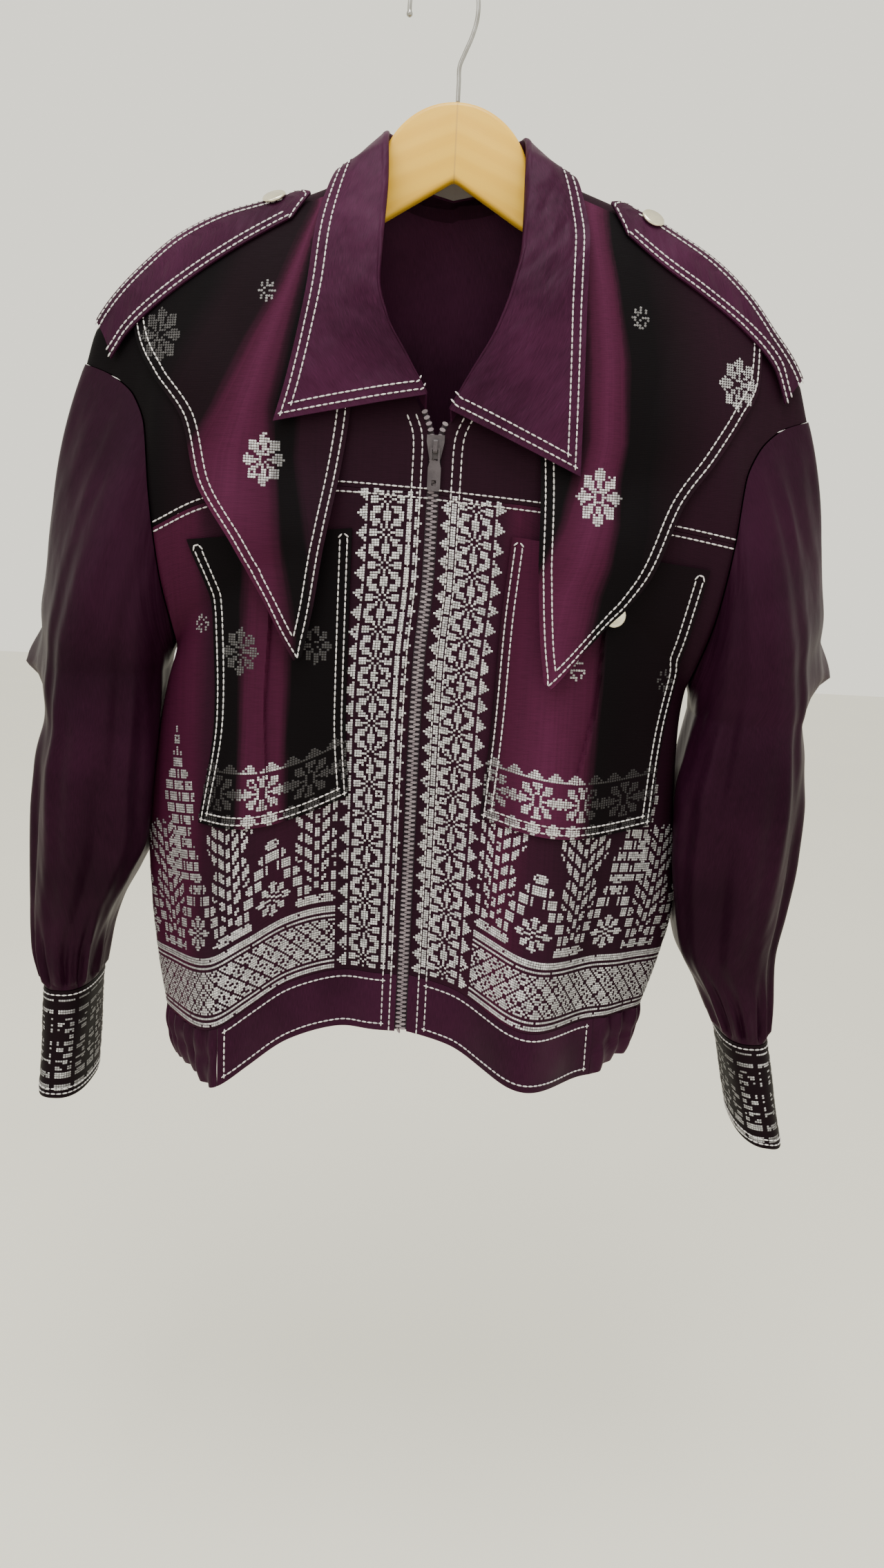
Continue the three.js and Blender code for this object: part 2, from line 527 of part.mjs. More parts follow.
// ---------- statement flaps, pockets and epaulettes, all made from the front's points ----------
function makeFlap(side) {
  const f = FRONT[side], t = FLAP[side];
  const edge = Object.fromEntries(["xIn", "zIn", "xOut", "zOut"].map((k) => [k, column(t, "step", k)]));
  const ridge = column(SHOULDER, "x" + f.S, "z" + f.S);
  const grid = steps(11).map((step) => sideways(10).map((w) => {
    const x = lerp(edge.xIn(step), edge.xOut(step), w);
    const topX = lerp(edge.xIn(0), edge.xOut(0), w);
    const bow = ridge(topX) - 12 - lerp(edge.zIn(0), edge.zOut(0), w);
    const z = lerp(edge.zIn(step), edge.zOut(step), w) + bow * (1 - step) ** 3;
    const free = ease((-350 - z) / 70);
    const soft = 3 * Math.sin(w * 9 + 1) * ease(step * 3) * (1 - step);
    const sewn = 1.2 * (1 - step) ** 6; // it lies close where the shoulder seam holds it
    return f.lifted(...f.find(x, z), lerp(FLAP_LIFT, FLAP_FREE, free) + Math.max(0, soft) - sewn);
  }));
  cloth("flap_" + side, grid, SONGKET, { outward: side === "left" ? 1 : -1 });
}

function makePocket(side) {
  const f = FRONT[side], t = POCKET[side], pleat = PLEAT[side];
  const edge = Object.fromEntries(["xIn", "zIn", "xOut", "zOut"].map((k) => [k, column(t, "step", k)]));
  const grid = steps(8).map((step) => {
    const middle = lerp(pleat.top, pleat.bottom, step);
    const open = Math.sin(Math.PI * clamp(step * 0.9 + 0.1)) ** 0.7;
    const rise = (w) => PLEAT_LIFT * open * bell((w - middle) / 0.09);
    return steps(12).map((w) => {
      const x = lerp(edge.xOut(step), edge.xIn(step), w);
      const sag = POCKET_SAG[side] * Math.sin(Math.PI * w) * step ** 2;
      const z = lerp(edge.zOut(step), edge.zIn(step), w) - sag;
      const gape = 2 * bell((z + 482) / 36) * (1 - w) ** 2; // it stands off where the front curves in
      return f.lifted(...f.find(x, z), POCKET_LIFT[side] + rise(w) + gape);
    });
  });
  cloth("pocket_" + side, grid, SONGKET, { outward: side === "left" ? -1 : 1 });
}

function makeEpaulette(side) {
  const f = FRONT[side], low = column(EPAULETTE, "x" + f.S, "z" + f.S), ends = EPAULETTE_ENDS[side];
  const tipX = SIDE["x" + f.S][0];
  const grid = steps(4).map((w) => steps(14).map((t) => {
    const pointed = 12 * Math.abs(w - 0.5) * 2 * (1 - ease(t * 9)); // the neck end comes to a point
    const x = lerp(ends.neck + pointed, ends.sleeve, t);
    const u = clamp((x - NECK_X) / (tipX - NECK_X), 0, 0.985);
    const xLow = lerp(ends.neck + pointed, ends.sleeve - 16, t), [uLow, vLow] = f.find(xLow, low(xLow));
    const across = w ** 1.6;
    return f.lifted(lerp(u, uLow, across), lerp(0.998, vLow, across), EPAULETTE_LIFT);
  }));
  cloth("epaulette_" + side, grid, SATIN, { outward: side === "left" ? 1 : -1, wall: 1.6 });
}

function makeButton(name, side, [x, z], lift) {
  const f = FRONT[side], [u, v] = f.find(x, z);
  const seat = f.lifted(u, v, lift), out = f.lifted(u, v, lift + 1).sub(seat);
  const r = BUTTON.radius, h = BUTTON.thick;
  const profile = [[0.01, 0], [r - 1, 0], [r, 0.8], [r - 0.7, h - 0.6], [r * 0.5, h], [0.01, h + 0.2]]
    .map(([a, b]) => new THREE.Vector2(a < 0.1 ? 0 : a, b));
  const disc = new THREE.LatheGeometry(profile, 16);
  disc.applyQuaternion(new THREE.Quaternion().setFromUnitVectors(new THREE.Vector3(0, 1, 0), out));
  disc.translate(seat.x, seat.y, seat.z);
  return add(name, welded(disc), BUTTON_METAL);
}

// Leaves out the empty triangles at the poles of a turned shape.
function welded(geometry) {
  const flat = geometry.index ? geometry.toNonIndexed() : geometry;
  const p = flat.getAttribute("position"), kept = [];
  const corner = (i) => new THREE.Vector3().fromBufferAttribute(p, i);
  for (let i = 0; i < p.count; i += 3) {
    const [a, b, c] = [corner(i), corner(i + 1), corner(i + 2)];
    if (b.clone().sub(a).cross(c.clone().sub(a)).length() > 1e-6) kept.push(a, b, c);
  }
  return new THREE.BufferGeometry().setFromPoints(kept);
}

SIDES.forEach((side) => {
  makeFlap(side);
  makePocket(side);
  makeEpaulette(side);
  makeButton("epaulette_button_" + side, side, BUTTONS[side].epaulette, EPAULETTE_LIFT + SEAM);
  makeButton("pocket_button_" + side, side, BUTTONS[side].pocket, BUTTON_LIFT[side]);
});

// ---------- collar ----------
const COLLAR_ROWS = 12;
function makeCollar() {
  const section = (side) => {
    const names = Object.keys(COLLAR[side]).slice(1);
    const at = Object.fromEntries(names.map((name) => [name, column(COLLAR[side], "step", name)]));
    const sign = FRONT[side].sign;
    return (step) => {
      const spot = (k) => new THREE.Vector3(sign * at["x" + k](step), at["y" + k](step), at["z" + k](step));
      const seam = spot("Seam"), roll = spot("Roll"), edge = spot("Edge");
      const turn = THREE.MathUtils.degToRad(at.turn(step));
      const out = new THREE.Vector3(sign * Math.sin(turn), -Math.cos(turn), 0);
      const up = roll.clone().sub(seam).normalize();
      const base = roll.clone().addScaledVector(up, -COLLAR_ROLL);
      const arc = [0, 60, 120, 180].map((d) => {
        const a = THREE.MathUtils.degToRad(d);
        return base.clone().addScaledVector(up, COLLAR_ROLL * Math.sin(a))
          .addScaledVector(out, COLLAR_ROLL * (1 - Math.cos(a)));
      });
      const leaf = [0.3, 0.6, 0.85, 1].map((t) =>
        arc[3].clone().lerp(edge, t).addScaledVector(out, 2.5 * Math.sin(Math.PI * t)));
      return [seam, seam.clone().lerp(base, 0.5), ...arc, ...leaf];
    };
  };
  const left = steps(COLLAR_ROWS).map(section("left")), right = steps(COLLAR_ROWS).map(section("right"));
  const grid = [...left, ...right.reverse().slice(1)];
  cloth("collar", grid, SATIN, { outward: -1, wall: 1.4 });
  return grid;
}
const collarGrid = makeCollar();

// ---------- waistband ----------
const bandDrop = (p, t) => p.clone().add(new THREE.Vector3(0, 0, -SEAM - t * (BAND_HEIGHT - SEAM)));
function makeFrontBand(side) {
  const f = FRONT[side], across = sideways(COLS).slice(0, FRONT_BAND_COLUMNS[side] + 1);
  const grid = steps(2).map((t) => across.map((u) => bandDrop(f.point(u, 0), t)));
  cloth("waistband_front_" + side, grid, SATIN, {
    outward: side === "left" ? 1 : -1, wall: 1.6,
    trim: (n, r, c) => {
      if (c === 0) flatten(n, "x", new THREE.Vector3(0, -1, 0));
      flatten(n, "z", new THREE.Vector3(0, -1, 0));
    },
  });
}
function makeElasticBand() {
  const frontPart = (side) => steps(6, sideways(COLS)[FRONT_BAND_COLUMNS[side]] + 0.008, 0.985)
    .map((u) => FRONT[side].point(u, 0));
  const backPart = (side) => sideways(9).slice(1).map((u) => BACK[side].point(u, 0));
  const points = [
    ...frontPart("left"), ...backPart("left").reverse(), BACK.left.point(0, 0),
    ...backPart("right"), ...frontPart("right").reverse(),
  ];
  const path = new THREE.CatmullRomCurve3(points, false, "centripetal");
  const waves = Math.round(path.getLength() / GATHER_PITCH), n = waves * 4;
  const spaced = path.getSpacedPoints(n);
  const ruffled = spaced.map((p, i) => {
    const ahead = spaced[Math.min(n, i + 1)].clone().sub(spaced[Math.max(0, i - 1)]);
    const inward = new THREE.Vector3(-ahead.y, ahead.x, 0).normalize().negate();
    const end = Math.min(1, i / 4, (n - i) / 4);
    return { p, inward, end, wave: Math.sin((i * Math.PI) / 2) };
  });
  const grid = [1, 0.6, 1].map((depth, r) => ruffled.map(({ p, inward, end, wave }) =>
    bandDrop(p, r / 2).addScaledVector(inward, end * ELASTIC_DEPTH * (1 - depth * wave))));
  cloth("waistband_elastic", grid, SATIN, { outward: 1, wall: 1.6 });
}
SIDES.forEach(makeFrontBand);
makeElasticBand();

// ---------- zip ----------
// A closed body through matching loops of points; the loops run clockwise seen from the first end.
function loft(name, loops, cap, material) {
  const n = loops[0].length, index = [];
  loops.slice(1).forEach((_, r) => loops[0].forEach((_, c) => {
    const a = r * n + c, b = r * n + ((c + 1) % n);
    index.push(a, b + n, b, a, a + n, b + n);
  }));
  const faces = THREE.ShapeUtils.triangulateShape(cap.map(([x, y]) => new THREE.Vector2(x, y)), []);
  const far = (loops.length - 1) * n;
  faces.forEach(([a, b, c]) => index.push(a, b, c, far + a, far + c, far + b));
  const geometry = new THREE.BufferGeometry();
  const flat = loops.flat().flatMap((p) => [p.x, p.y, p.z]);
  geometry.setAttribute("position", new THREE.Float32BufferAttribute(flat, 3));
  geometry.setIndex(index);
  return add(name, geometry, material);
}
const middle = FRONT.left;
const zipMiddle = (z) => new THREE.Vector3(
  middle.drift(z), middle.Y(0, clamp((z - middle.bottom(0)) / (middle.top(0) - middle.bottom(0)))), z);
function makeZip() {
  const { chain, proud, tape } = ZIP, under = WALL + 1.1, back = under + 0.9;
  const profile = [[-tape, under], [-chain, under], [-chain, -proud], [chain, -proud], [chain, under],
    [tape, under], [tape, back], [-tape, back]];
  const loops = steps(14, ZIP.top, ZIP.bottom).map((z) =>
    profile.map(([x, y]) => zipMiddle(z).add(new THREE.Vector3(x, y, 0))));
  loft("zip_chain", loops, profile, ZIP_PLASTIC);
  SIDES.forEach((side) => {
    const f = FRONT[side], open = side === "left" ? ZIP.openLeft : ZIP.openRight;
    const half = [[-chain - 0.4, -proud], [-0.4, -proud], [-0.4, under], [9, under], [9, back],
      [-chain - 0.4, back]];
    const ends = steps(4, -331, open);
    const loopsUp = (side === "left" ? ends : [...ends].reverse()).map((z) => half.map(([x, y]) => {
      const v = (z - f.bottom(0)) / (f.top(0) - f.bottom(0));
      return f.point(0, v).add(new THREE.Vector3(f.sign * x, y, 0));
    }));
    loft("zip_open_" + side, loopsUp, half, ZIP_PLASTIC);
  });
}
makeZip();

// A flat outline given a thickness: seen from the front (x, z), or from the side (out, z).
const extrude = (outline, holes, depth) => {
  const shape = new THREE.Shape(outline.map(([a, b]) => new THREE.Vector2(a, b)));
  holes.forEach((hole) => shape.holes.push(new THREE.Path(hole.map(([a, b]) => new THREE.Vector2(a, b)))));
  return new THREE.ExtrudeGeometry(shape, { depth, bevelEnabled: false }).translate(0, 0, -depth / 2);
};
const fromFront = (geometry) => geometry.rotateX(Math.PI / 2);
const fromSide = (geometry) => geometry.applyMatrix4(new THREE.Matrix4().makeBasis(
  new THREE.Vector3(0, -1, 0), new THREE.Vector3(0, 0, 1), new THREE.Vector3(-1, 0, 0)));
const box = (a0, b0, a1, b1) => [[a0, b0], [a1, b0], [a1, b1], [a0, b1]];

// One body from solids that cross each other.
const wasm = await Module();
wasm.setup();
function joined(geometries) {
  const solids = geometries.map((geometry) => {
    const merged = mergeVertices(new THREE.BufferGeometry().setAttribute(
      "position", (geometry.index ? geometry.toNonIndexed() : geometry).getAttribute("position")), 1e-3);
    return new wasm.Manifold(new wasm.Mesh({
      numProp: 3, vertProperties: merged.attributes.position.array, triVerts: new Uint32Array(merged.index.array),
    }));
  });
  const mesh = wasm.Manifold.union(solids).getMesh(), geometry = new THREE.BufferGeometry();
  geometry.setAttribute("position", new THREE.Float32BufferAttribute(mesh.vertProperties, 3));
  return geometry.setIndex([...mesh.triVerts]);
}

function makeSlider() {
  const s = SLIDER, x = middle.drift(s.z), back = zipMiddle(s.z).y - ZIP.proud - 2 * SEAM;
  const top = s.width / 2, foot = s.width / 2 - 2.4, high = s.length / 2;
  const plate = fromFront(extrude(
    [[-foot, -high], [foot, -high], [top, high - 5], [top, high], [-top, high], [-top, high - 5]], [], s.thick));
  plate.translate(0, -s.thick / 2, 0);
  const eye = { low: -2.8, high: 3.2, far: s.thick + 2.4 }; // the hole that the tab's bar lies in
  const bridge = fromSide(extrude(
    [[s.thick - 0.5, eye.low - 1.6], [eye.far + 0.4, eye.low - 1.6], [eye.far + 1.3, eye.low - 0.6],
      [eye.far + 1.3, eye.high + 0.6], [eye.far + 0.4, eye.high + 1.6], [s.thick - 0.5, eye.high + 1.6]],
    [box(s.thick, eye.low, eye.far, eye.high)], s.bridge));
  add("slider", joined([plate, bridge]).translate(x, back, s.z), ZIP_PLASTIC);

  // The pull tab hangs from its bar in the bridge's eye, and turns about the bar.
  const t = TAB, bar = 0.7, hinge = new THREE.Vector3(x, back - s.thick - 1.2, s.z + eye.low + 1.45);
  const low = -(t.length - bar), wide = t.width / 2, slim = t.neck / 2;
  const tab = extrude(
    [[-slim, bar], [-slim, -t.window - 1], [-wide, -t.window - 5], [-wide, low + 1.5], [-wide + 1.5, low],
      [wide - 1.5, low], [wide, low + 1.5], [wide, -t.window - 5], [slim, -t.window - 1], [slim, bar]],
    [box(-t.eye, -t.window, t.eye, -bar), box(-1.7, low + 4, 1.7, low + 8)], t.thick);
  add("pull_tab", fromFront(tab).translate(hinge.x, hinge.y, hinge.z), ZIP_PLASTIC);
}
makeSlider();

// ---------- label, on the inside of the collar's stand ----------
function makeLabel() {
  const near = (row, next, t) => {
    const a = collarGrid[row], b = collarGrid[next];
    const foot = a[0].clone().lerp(b[0], 0.2), head = a[1].clone().lerp(b[1], 0.2);
    return foot.lerp(head, t);
  };
  const c = COLLAR_ROWS, grid = [0.08, 0.85].map((t) =>
    [near(c - 1, c, t), near(c, c, t), near(c + 1, c, t)].map((p) => p.setY(p.y - SEAM - 0.6)));
  cloth("neck_label", grid, LABEL_CLOTH, { outward: 1, wall: 0.6 });
}
makeLabel();

// ---------- hanger ----------
function makeHanger() {
  const { headTop, headRadius: r, armX, apex, thick } = HANGER;
  const arch = steps(16, -72, 72).map((d) => {
    const a = THREE.MathUtils.degToRad(d);
    return [r * Math.sin(a), headTop - r + r * Math.cos(a)];
  });
  const arm = (side) => {
    const f = FRONT[side];
    return sideways(COLS).map((u) => f.point(u, 1)).filter((p) => Math.abs(p.x) < armX)
      .map((p) => [p.x, p.z - HANGER.below - 8 * ((Math.abs(p.x) - NECK_X) / armX)]);
  };
  const tip = (sign) => [[sign * (armX + 4), -226], [sign * (armX + 5), -236], [sign * (armX - 4), -243]];
  const under = (sign) => [[sign * 200, -236], [sign * 150, -215], [sign * 100, -196], [sign * 50, -173]];
  const outline = [
    ...arch, [57, -141], ...arm("right"), ...tip(1), ...under(1), [0, apex],
    ...under(-1).reverse(), ...tip(-1).reverse(), ...arm("left").reverse(), [-57, -141],
  ];
  const shape = new THREE.Shape(outline.map(([a, b]) => new THREE.Vector2(a, b)));
  const { bevel } = HANGER;
  const body = new THREE.ExtrudeGeometry(shape, {
    depth: thick - 2 * bevel, bevelThickness: bevel, bevelSize: bevel, bevelOffset: -bevel, bevelSegments: 1,
  });
  body.translate(0, 0, -thick / 2 + bevel);
  add("hanger", fromFront(body), WOOD);
}
function makeHook() {
  const { wire, loop, loopX } = HOOK, z = wire - loop;
  const turn = steps(8, 0, 180).map((d) => {
    const a = THREE.MathUtils.degToRad(d);
    return [loopX + loop * Math.cos(a), z + loop * Math.sin(a)];
  });
  const points = [[0, HANGER.headTop + 0.5], [0, -76], [0, -65], [3.4, -56], [8, -45], [11, -34], ...turn,
    [loopX - loop, -34]];
  const path = new THREE.CatmullRomCurve3(points.map(([a, b]) => new THREE.Vector3(a, 0, b)), false, "centripetal");
  const n = 30, sides = 8, loops = steps(n).map((t) => {
    const p = path.getPointAt(t), d = path.getTangentAt(t), side = new THREE.Vector3(-d.z, 0, d.x);
    return steps(sides).slice(1).map((s) => p.clone().addScaledVector(side, wire * Math.cos(s * 2 * Math.PI))
      .add(new THREE.Vector3(0, wire * Math.sin(s * 2 * Math.PI), 0)));
  });
  const cap = steps(sides).slice(1).map((s) => [Math.cos(s * 2 * Math.PI), Math.sin(s * 2 * Math.PI)]);
  loft("hanger_hook", loops, cap, STEEL);
}
makeHanger();
makeHook();

jacket.updateMatrixWorld(true);
export default jacket;
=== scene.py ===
"""A satin and songket jacket on its wooden hanger, dressed over its solid model.

Laid out as a Blender add-on: one operator sews each piece, and a panel lists them.
Lengths in the tables are millimetres in the garment's own frame, whose x = 0 is the
garment's centre plane; a mesh gets metres in the part's frame.
"""

import math

import bmesh
import bpy
import numpy as np
from bpy.props import FloatProperty, FloatVectorProperty, IntProperty, PointerProperty
from mathutils import Matrix, Vector


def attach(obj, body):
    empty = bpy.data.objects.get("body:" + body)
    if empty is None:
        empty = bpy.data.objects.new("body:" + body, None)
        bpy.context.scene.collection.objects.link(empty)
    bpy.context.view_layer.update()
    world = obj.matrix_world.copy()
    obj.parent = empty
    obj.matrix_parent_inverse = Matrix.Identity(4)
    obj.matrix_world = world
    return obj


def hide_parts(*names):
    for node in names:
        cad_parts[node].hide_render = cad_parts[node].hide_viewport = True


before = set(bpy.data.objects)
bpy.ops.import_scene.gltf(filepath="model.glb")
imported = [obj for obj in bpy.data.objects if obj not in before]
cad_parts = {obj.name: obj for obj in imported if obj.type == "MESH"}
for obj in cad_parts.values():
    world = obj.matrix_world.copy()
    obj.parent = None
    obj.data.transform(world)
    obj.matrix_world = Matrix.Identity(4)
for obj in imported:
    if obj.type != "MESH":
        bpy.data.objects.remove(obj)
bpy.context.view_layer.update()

bl_info = {
    "name": "Statement Collar Jacket",
    "version": (1, 0, 0),
    "blender": (4, 5, 0),
    "location": "3D View > Sidebar > Jacket",
    "description": "Sews a satin and songket jacket, piece by piece, and hangs it up",
    "category": "Add Mesh",
}

HOOK_OFFSET = 13.4  # from the hook's top, the part's origin, to the garment's centre plane
WALL, SEAM = 1.2, 0.3
NECK_X, ZIP_HALF = 66, 4.8
ARMHOLE_DEPTH, SHOULDER_ROUND, BAND_HEIGHT, SIDE_POWER = 44, 132, 49, 2.3
FLAP_LIFT, FLAP_FREE = 3.8, 15
POCKET_LIFT = {"left": 2.4, "right": 3.2}
PLEAT_LIFT, EPAULETTE_LIFT = 4, 5.2
BUTTON_LIFT = {"left": 6.2, "right": 9}
STAR_SQUASH = 0.78  # the scattered stars are drawn out downwards by its inverse
ZIP_STITCHES = {"left": (4.7, 11.2), "right": (8.6, 15.0)}  # two rows beside the zip, in from the edge
HALF_SEAM = SEAM / 1200  # half the gap at the chest seam, as a share of the front's height
CELL_WIDE, CELL_HIGH = 1.95, 1.85  # one float of silver thread, with the gap beside it
SIDES = ("left", "right")
SIGN = {"left": -1, "right": 1}


# ---------- tables of the cut ----------
def table(names, rows):
    """The columns of a table by name; each row is one section, fold or corner."""
    return dict(zip(names.split(), np.array(rows, float).T))


SIDE = table("zleft xleft zright xright", [
    [-287, 277, -302, 283], [-297, 251, -312, 258], [-312, 232, -330, 240], [-335, 222, -352, 231],
    [-385, 217, -400, 226], [-440, 211, -453, 219], [-497, 204, -510, 208], [-535, 213, -548, 205],
    [-587, 222, -594, 206], [-645, 228, -650, 211], [-709, 225, -694, 214], [-760, 219, -740, 206],
    [-802, 211, -784, 194],
])
UNDERARM = 6  # the row of SIDE at the armhole's foot
SHOULDER = table("xleft zleft xright zright", [
    [NECK_X, -139, NECK_X, -136], [105, -157, 96, -146], [143, -169, 143, -163],
    [172, -178, 170, -176], [204, -194, 200, -193], [230, -215, 228, -216],
    [256, -242, 248, -239], [270, -264, 272, -270], [277, -287, 283, -302],
])
BAND_TOP = table("xleft zleft xright zright", [
    [0, -752, 0, -752], [30, -752, 34, -758], [62, -754, 60, -767], [92, -760, 80, -773],
    [122, -774, 103, -777], [150, -789, 128, -780], [180, -797, 160, -782], [211, -802, 194, -784],
])
CHEST_SEAM = table("xleft zleft xright zright", [
    [5, -374, 5, -375], [80, -372, 80, -380], [170, -388, 176, -391], [217, -410, 226, -399],
])
NECKLINE = table("z x", [
    [-800, ZIP_HALF], [-345, ZIP_HALF], [-333, 5.6], [-318, 11], [-300, 21], [-279, 35],
    [-254, 47], [-226, 55], [-200, 59], [-170, 62], [-136, NECK_X],
])
CENTRE = table("z drift front back", [
    [-850, -9, 50, 54], [-700, -9, 51, 54], [-562, -9, 55, 52], [-498, -8, 57, 50],
    [-435, -4, 57, 47], [-336, -3, 54, 43], [-250, -1, 46, 36], [-136, 0, 40, 30],
])
FOLDS = {  # middle at the top and at the hem, height, width, reach in z
    "left": [(122, 152, 66, 44, -430, -800), (60, 48, -7, 20, -520, -790)],
    "right": [(120, 94, 62, 42, -430, -790), (175, 160, 9, 16, -560, -780)],
}
SLEEVE = {
    "left": table("z outer inner depth", [
        [-520, 306, 214, 62], [-560, 307, 215, 66], [-600, 314, 217, 68], [-650, 319, 221, 64],
        [-690, 321, 238, 58], [-720, 322, 254, 52], [-750, 320, 265, 46], [-785, 312, 272, 42],
    ]),
    "right": table("z outer inner depth", [
        [-533, 301, 215, 62], [-565, 304, 209, 66], [-602, 308, 203, 68], [-646, 308, 204, 64],
        [-690, 305, 211, 58], [-729, 301, 220, 52], [-766, 301, 243, 46], [-801, 301, 261, 42],
    ]),
}
# the elbow's crease: its height, its reach up and down, how far it stands out, and its angle round the sleeve
ELBOW = {"left": (-524, 92, 42, 48, -26), "right": (-502, 112, 34, 44, -26)}
# the middle of each cuff at its top and at its foot, as x and z, and its tilt in degrees
CUFF = {"left": (292, -785, 298, -881, 0), "right": (281, -801, 303, -893, 11)}
FLAP = {
    "left": table("step xin zin xout zout", [
        [0, 74, -150, 238, -240], [0.12, 68, -196, 231, -274], [0.25, 65, -248, 215, -300],
        [0.4, 66, -308, 190, -333], [0.55, 72, -362, 180, -372], [0.7, 80, -410, 150, -418],
        [0.85, 88, -462, 122, -463], [1, 96, -499, 101, -502],
    ]),
    "right": table("step xin zin xout zout", [
        [0, 74, -147, 238, -246], [0.12, 70, -196, 236, -286], [0.25, 70, -248, 223, -312],
        [0.4, 72, -308, 205, -342], [0.55, 76, -370, 184, -372], [0.7, 78, -424, 162, -424],
        [0.85, 83, -478, 126, -470], [1, 88, -510, 93, -514],
    ]),
}
POCKET = {
    "left": table("step xout zout xin zin", [
        [0, 187, -416, 62, -402], [0.3, 166, -476, 62, -470], [0.6, 163, -548, 62, -540],
        [1, 174, -634, 58, -606],
    ]),
    "right": table("step xout zout xin zin", [
        [0, 208, -419, 57, -402], [0.3, 196, -484, 52, -470], [0.6, 186, -552, 50, -540],
        [1, 181, -621, 46, -617],
    ]),
}
PLEAT = {"left": (0.42, 0.43), "right": (0.45, 0.5)}  # how far across each pocket it lies, at the top and at the foot
EPAULETTE = table("xleft zleft xright zright", [
    [104, -176, 116, -172], [122, -186, 133, -186], [157, -207, 159, -205], [187, -227, 190, -224],
    [214, -247, 223, -246], [237, -268, 246, -268], [250, -286, 259, -298],
])
EPAULETTE_ENDS = {"left": (104, 266), "right": (116, 273)}  # x at the neck's end and at the sleeve's
COLLAR_NAMES = "step xseam yseam zseam xroll yroll zroll xedge yedge zedge turn"
COLLAR_BACK = [
    [0.78, 62, 5, -137, 49, 5, -109, 80, 14, -141, 100],
    [0.88, 42, 17, -142, 34, 19, -110, 54, 36, -156, 140],
    [1, 0, 26, -150, 0, 26, -113, 0, 46, -164, 180],
]
COLLAR = {
    "left": table(COLLAR_NAMES, [
        [0, 11, -53, -314, 11, -60, -303, 122, -63, -329, 0],
        [0.1, 29, -50, -285, 26, -58, -278, 114, -62, -300, 6],
        [0.22, 44, -47, -255, 41, -56, -252, 107, -58, -266, 14],
        [0.34, 52, -43, -228, 48, -51, -224, 101, -52, -228, 22],
        [0.46, 56, -37, -200, 47, -42, -192, 98, -42, -192, 32],
        [0.58, 59, -28, -172, 46, -28, -156, 93, -28, -164, 48],
        [0.68, 62, -15, -150, 48, -13, -122, 85, -12, -142, 70],
    ] + COLLAR_BACK),
    "right": table(COLLAR_NAMES, [
        [0, 7, -54, -322, 6, -61, -313, 104, -64, -357, 0],
        [0.1, 23, -51, -293, 20, -59, -286, 103, -63, -318, 6],
        [0.22, 40, -48, -262, 35, -57, -258, 102, -59, -276, 14],
        [0.34, 51, -43, -232, 46, -51, -224, 101, -53, -232, 22],
        [0.46, 56, -37, -200, 51, -42, -192, 101, -42, -192, 32],
        [0.58, 59, -28, -172, 51, -28, -156, 97, -28, -164, 48],
        [0.68, 62, -15, -150, 51, -13, -122, 88, -12, -139, 70],
    ] + COLLAR_BACK),
}
COLLAR_ROLL = 2.6
ZIP = dict(chain=4.2, tape=11, top=-343, bottom=-800, left=-316, right=-324)
BUTTONS = {  # x and z as seen from the front
    "left": {"epaulette": (131, -169), "pocket": (118, -452)},
    "right": {"epaulette": (147, -170), "pocket": (136, -456)},
}
FRONT_BAND_END = {"left": 7 / 12, "right": 8 / 12}
HANGER = dict(thick=12, top=-90, radius=57, arm=222, apex=-143, below=5)


# ---------- small maths ----------
def lerp(a, b, t):
    return a + (b - a) * t


def ease(t):
    t = np.clip(t, 0, 1)
    return t * t * (3 - 2 * t)


def bell(t):
    return np.exp(-np.square(t))


def smooth(inputs, outputs):
    """A smooth curve through the points of two columns, level beyond its ends."""
    order = np.argsort(inputs)
    x, y = np.asarray(inputs, float)[order], np.asarray(outputs, float)[order]
    rise = np.diff(y) / np.diff(x)
    inner = np.where(rise[:-1] * rise[1:] <= 0, 0,
                     2 * rise[:-1] * rise[1:] / np.where(rise[:-1] + rise[1:] == 0, 1, rise[:-1] + rise[1:]))
    slope = np.concatenate([rise[:1], inner, rise[-1:]])

    def at(place):
        a = np.clip(np.asarray(place, float), x[0], x[-1])
        i = np.clip(np.searchsorted(x, a, side="right") - 1, 0, len(x) - 2)
        h, p, q, s, e = x[i + 1] - x[i], y[i], y[i + 1], slope[i], slope[i + 1]
        t = (a - x[i]) / h
        return p + t * (h * s + t * (3 * (q - p) - h * (2 * s + e) + t * (h * (s + e) - 2 * (q - p))))

    return at


def spread(n):
    """Columns that lie closer together towards the side, where the cloth turns."""
    t = np.linspace(0, 1, n + 1)
    return lerp(t, np.sin(t * math.pi / 2), 0.5)


def spread_at(t):
    return lerp(t, math.sin(t * math.pi / 2), 0.5)


def points(x, y, z):
    return np.stack(np.broadcast_arrays(x, y, z), -1).astype(float)


def unit(v):
    return v / np.maximum(np.linalg.norm(v, axis=-1, keepdims=True), 1e-9)


def lengths_along(path):
    """How far along a run each of its points lies."""
    return np.concatenate([[0], np.cumsum(np.linalg.norm(np.diff(path, axis=0), axis=1))])


def noise(a, b, seed=0):
    """A repeatable number from 0 to 1 for each pair of whole numbers."""
    h = np.sin(np.asarray(a) * 127.1 + np.asarray(b) * 311.7 + seed * 74.7) * 43758.5453
    return h - np.floor(h)


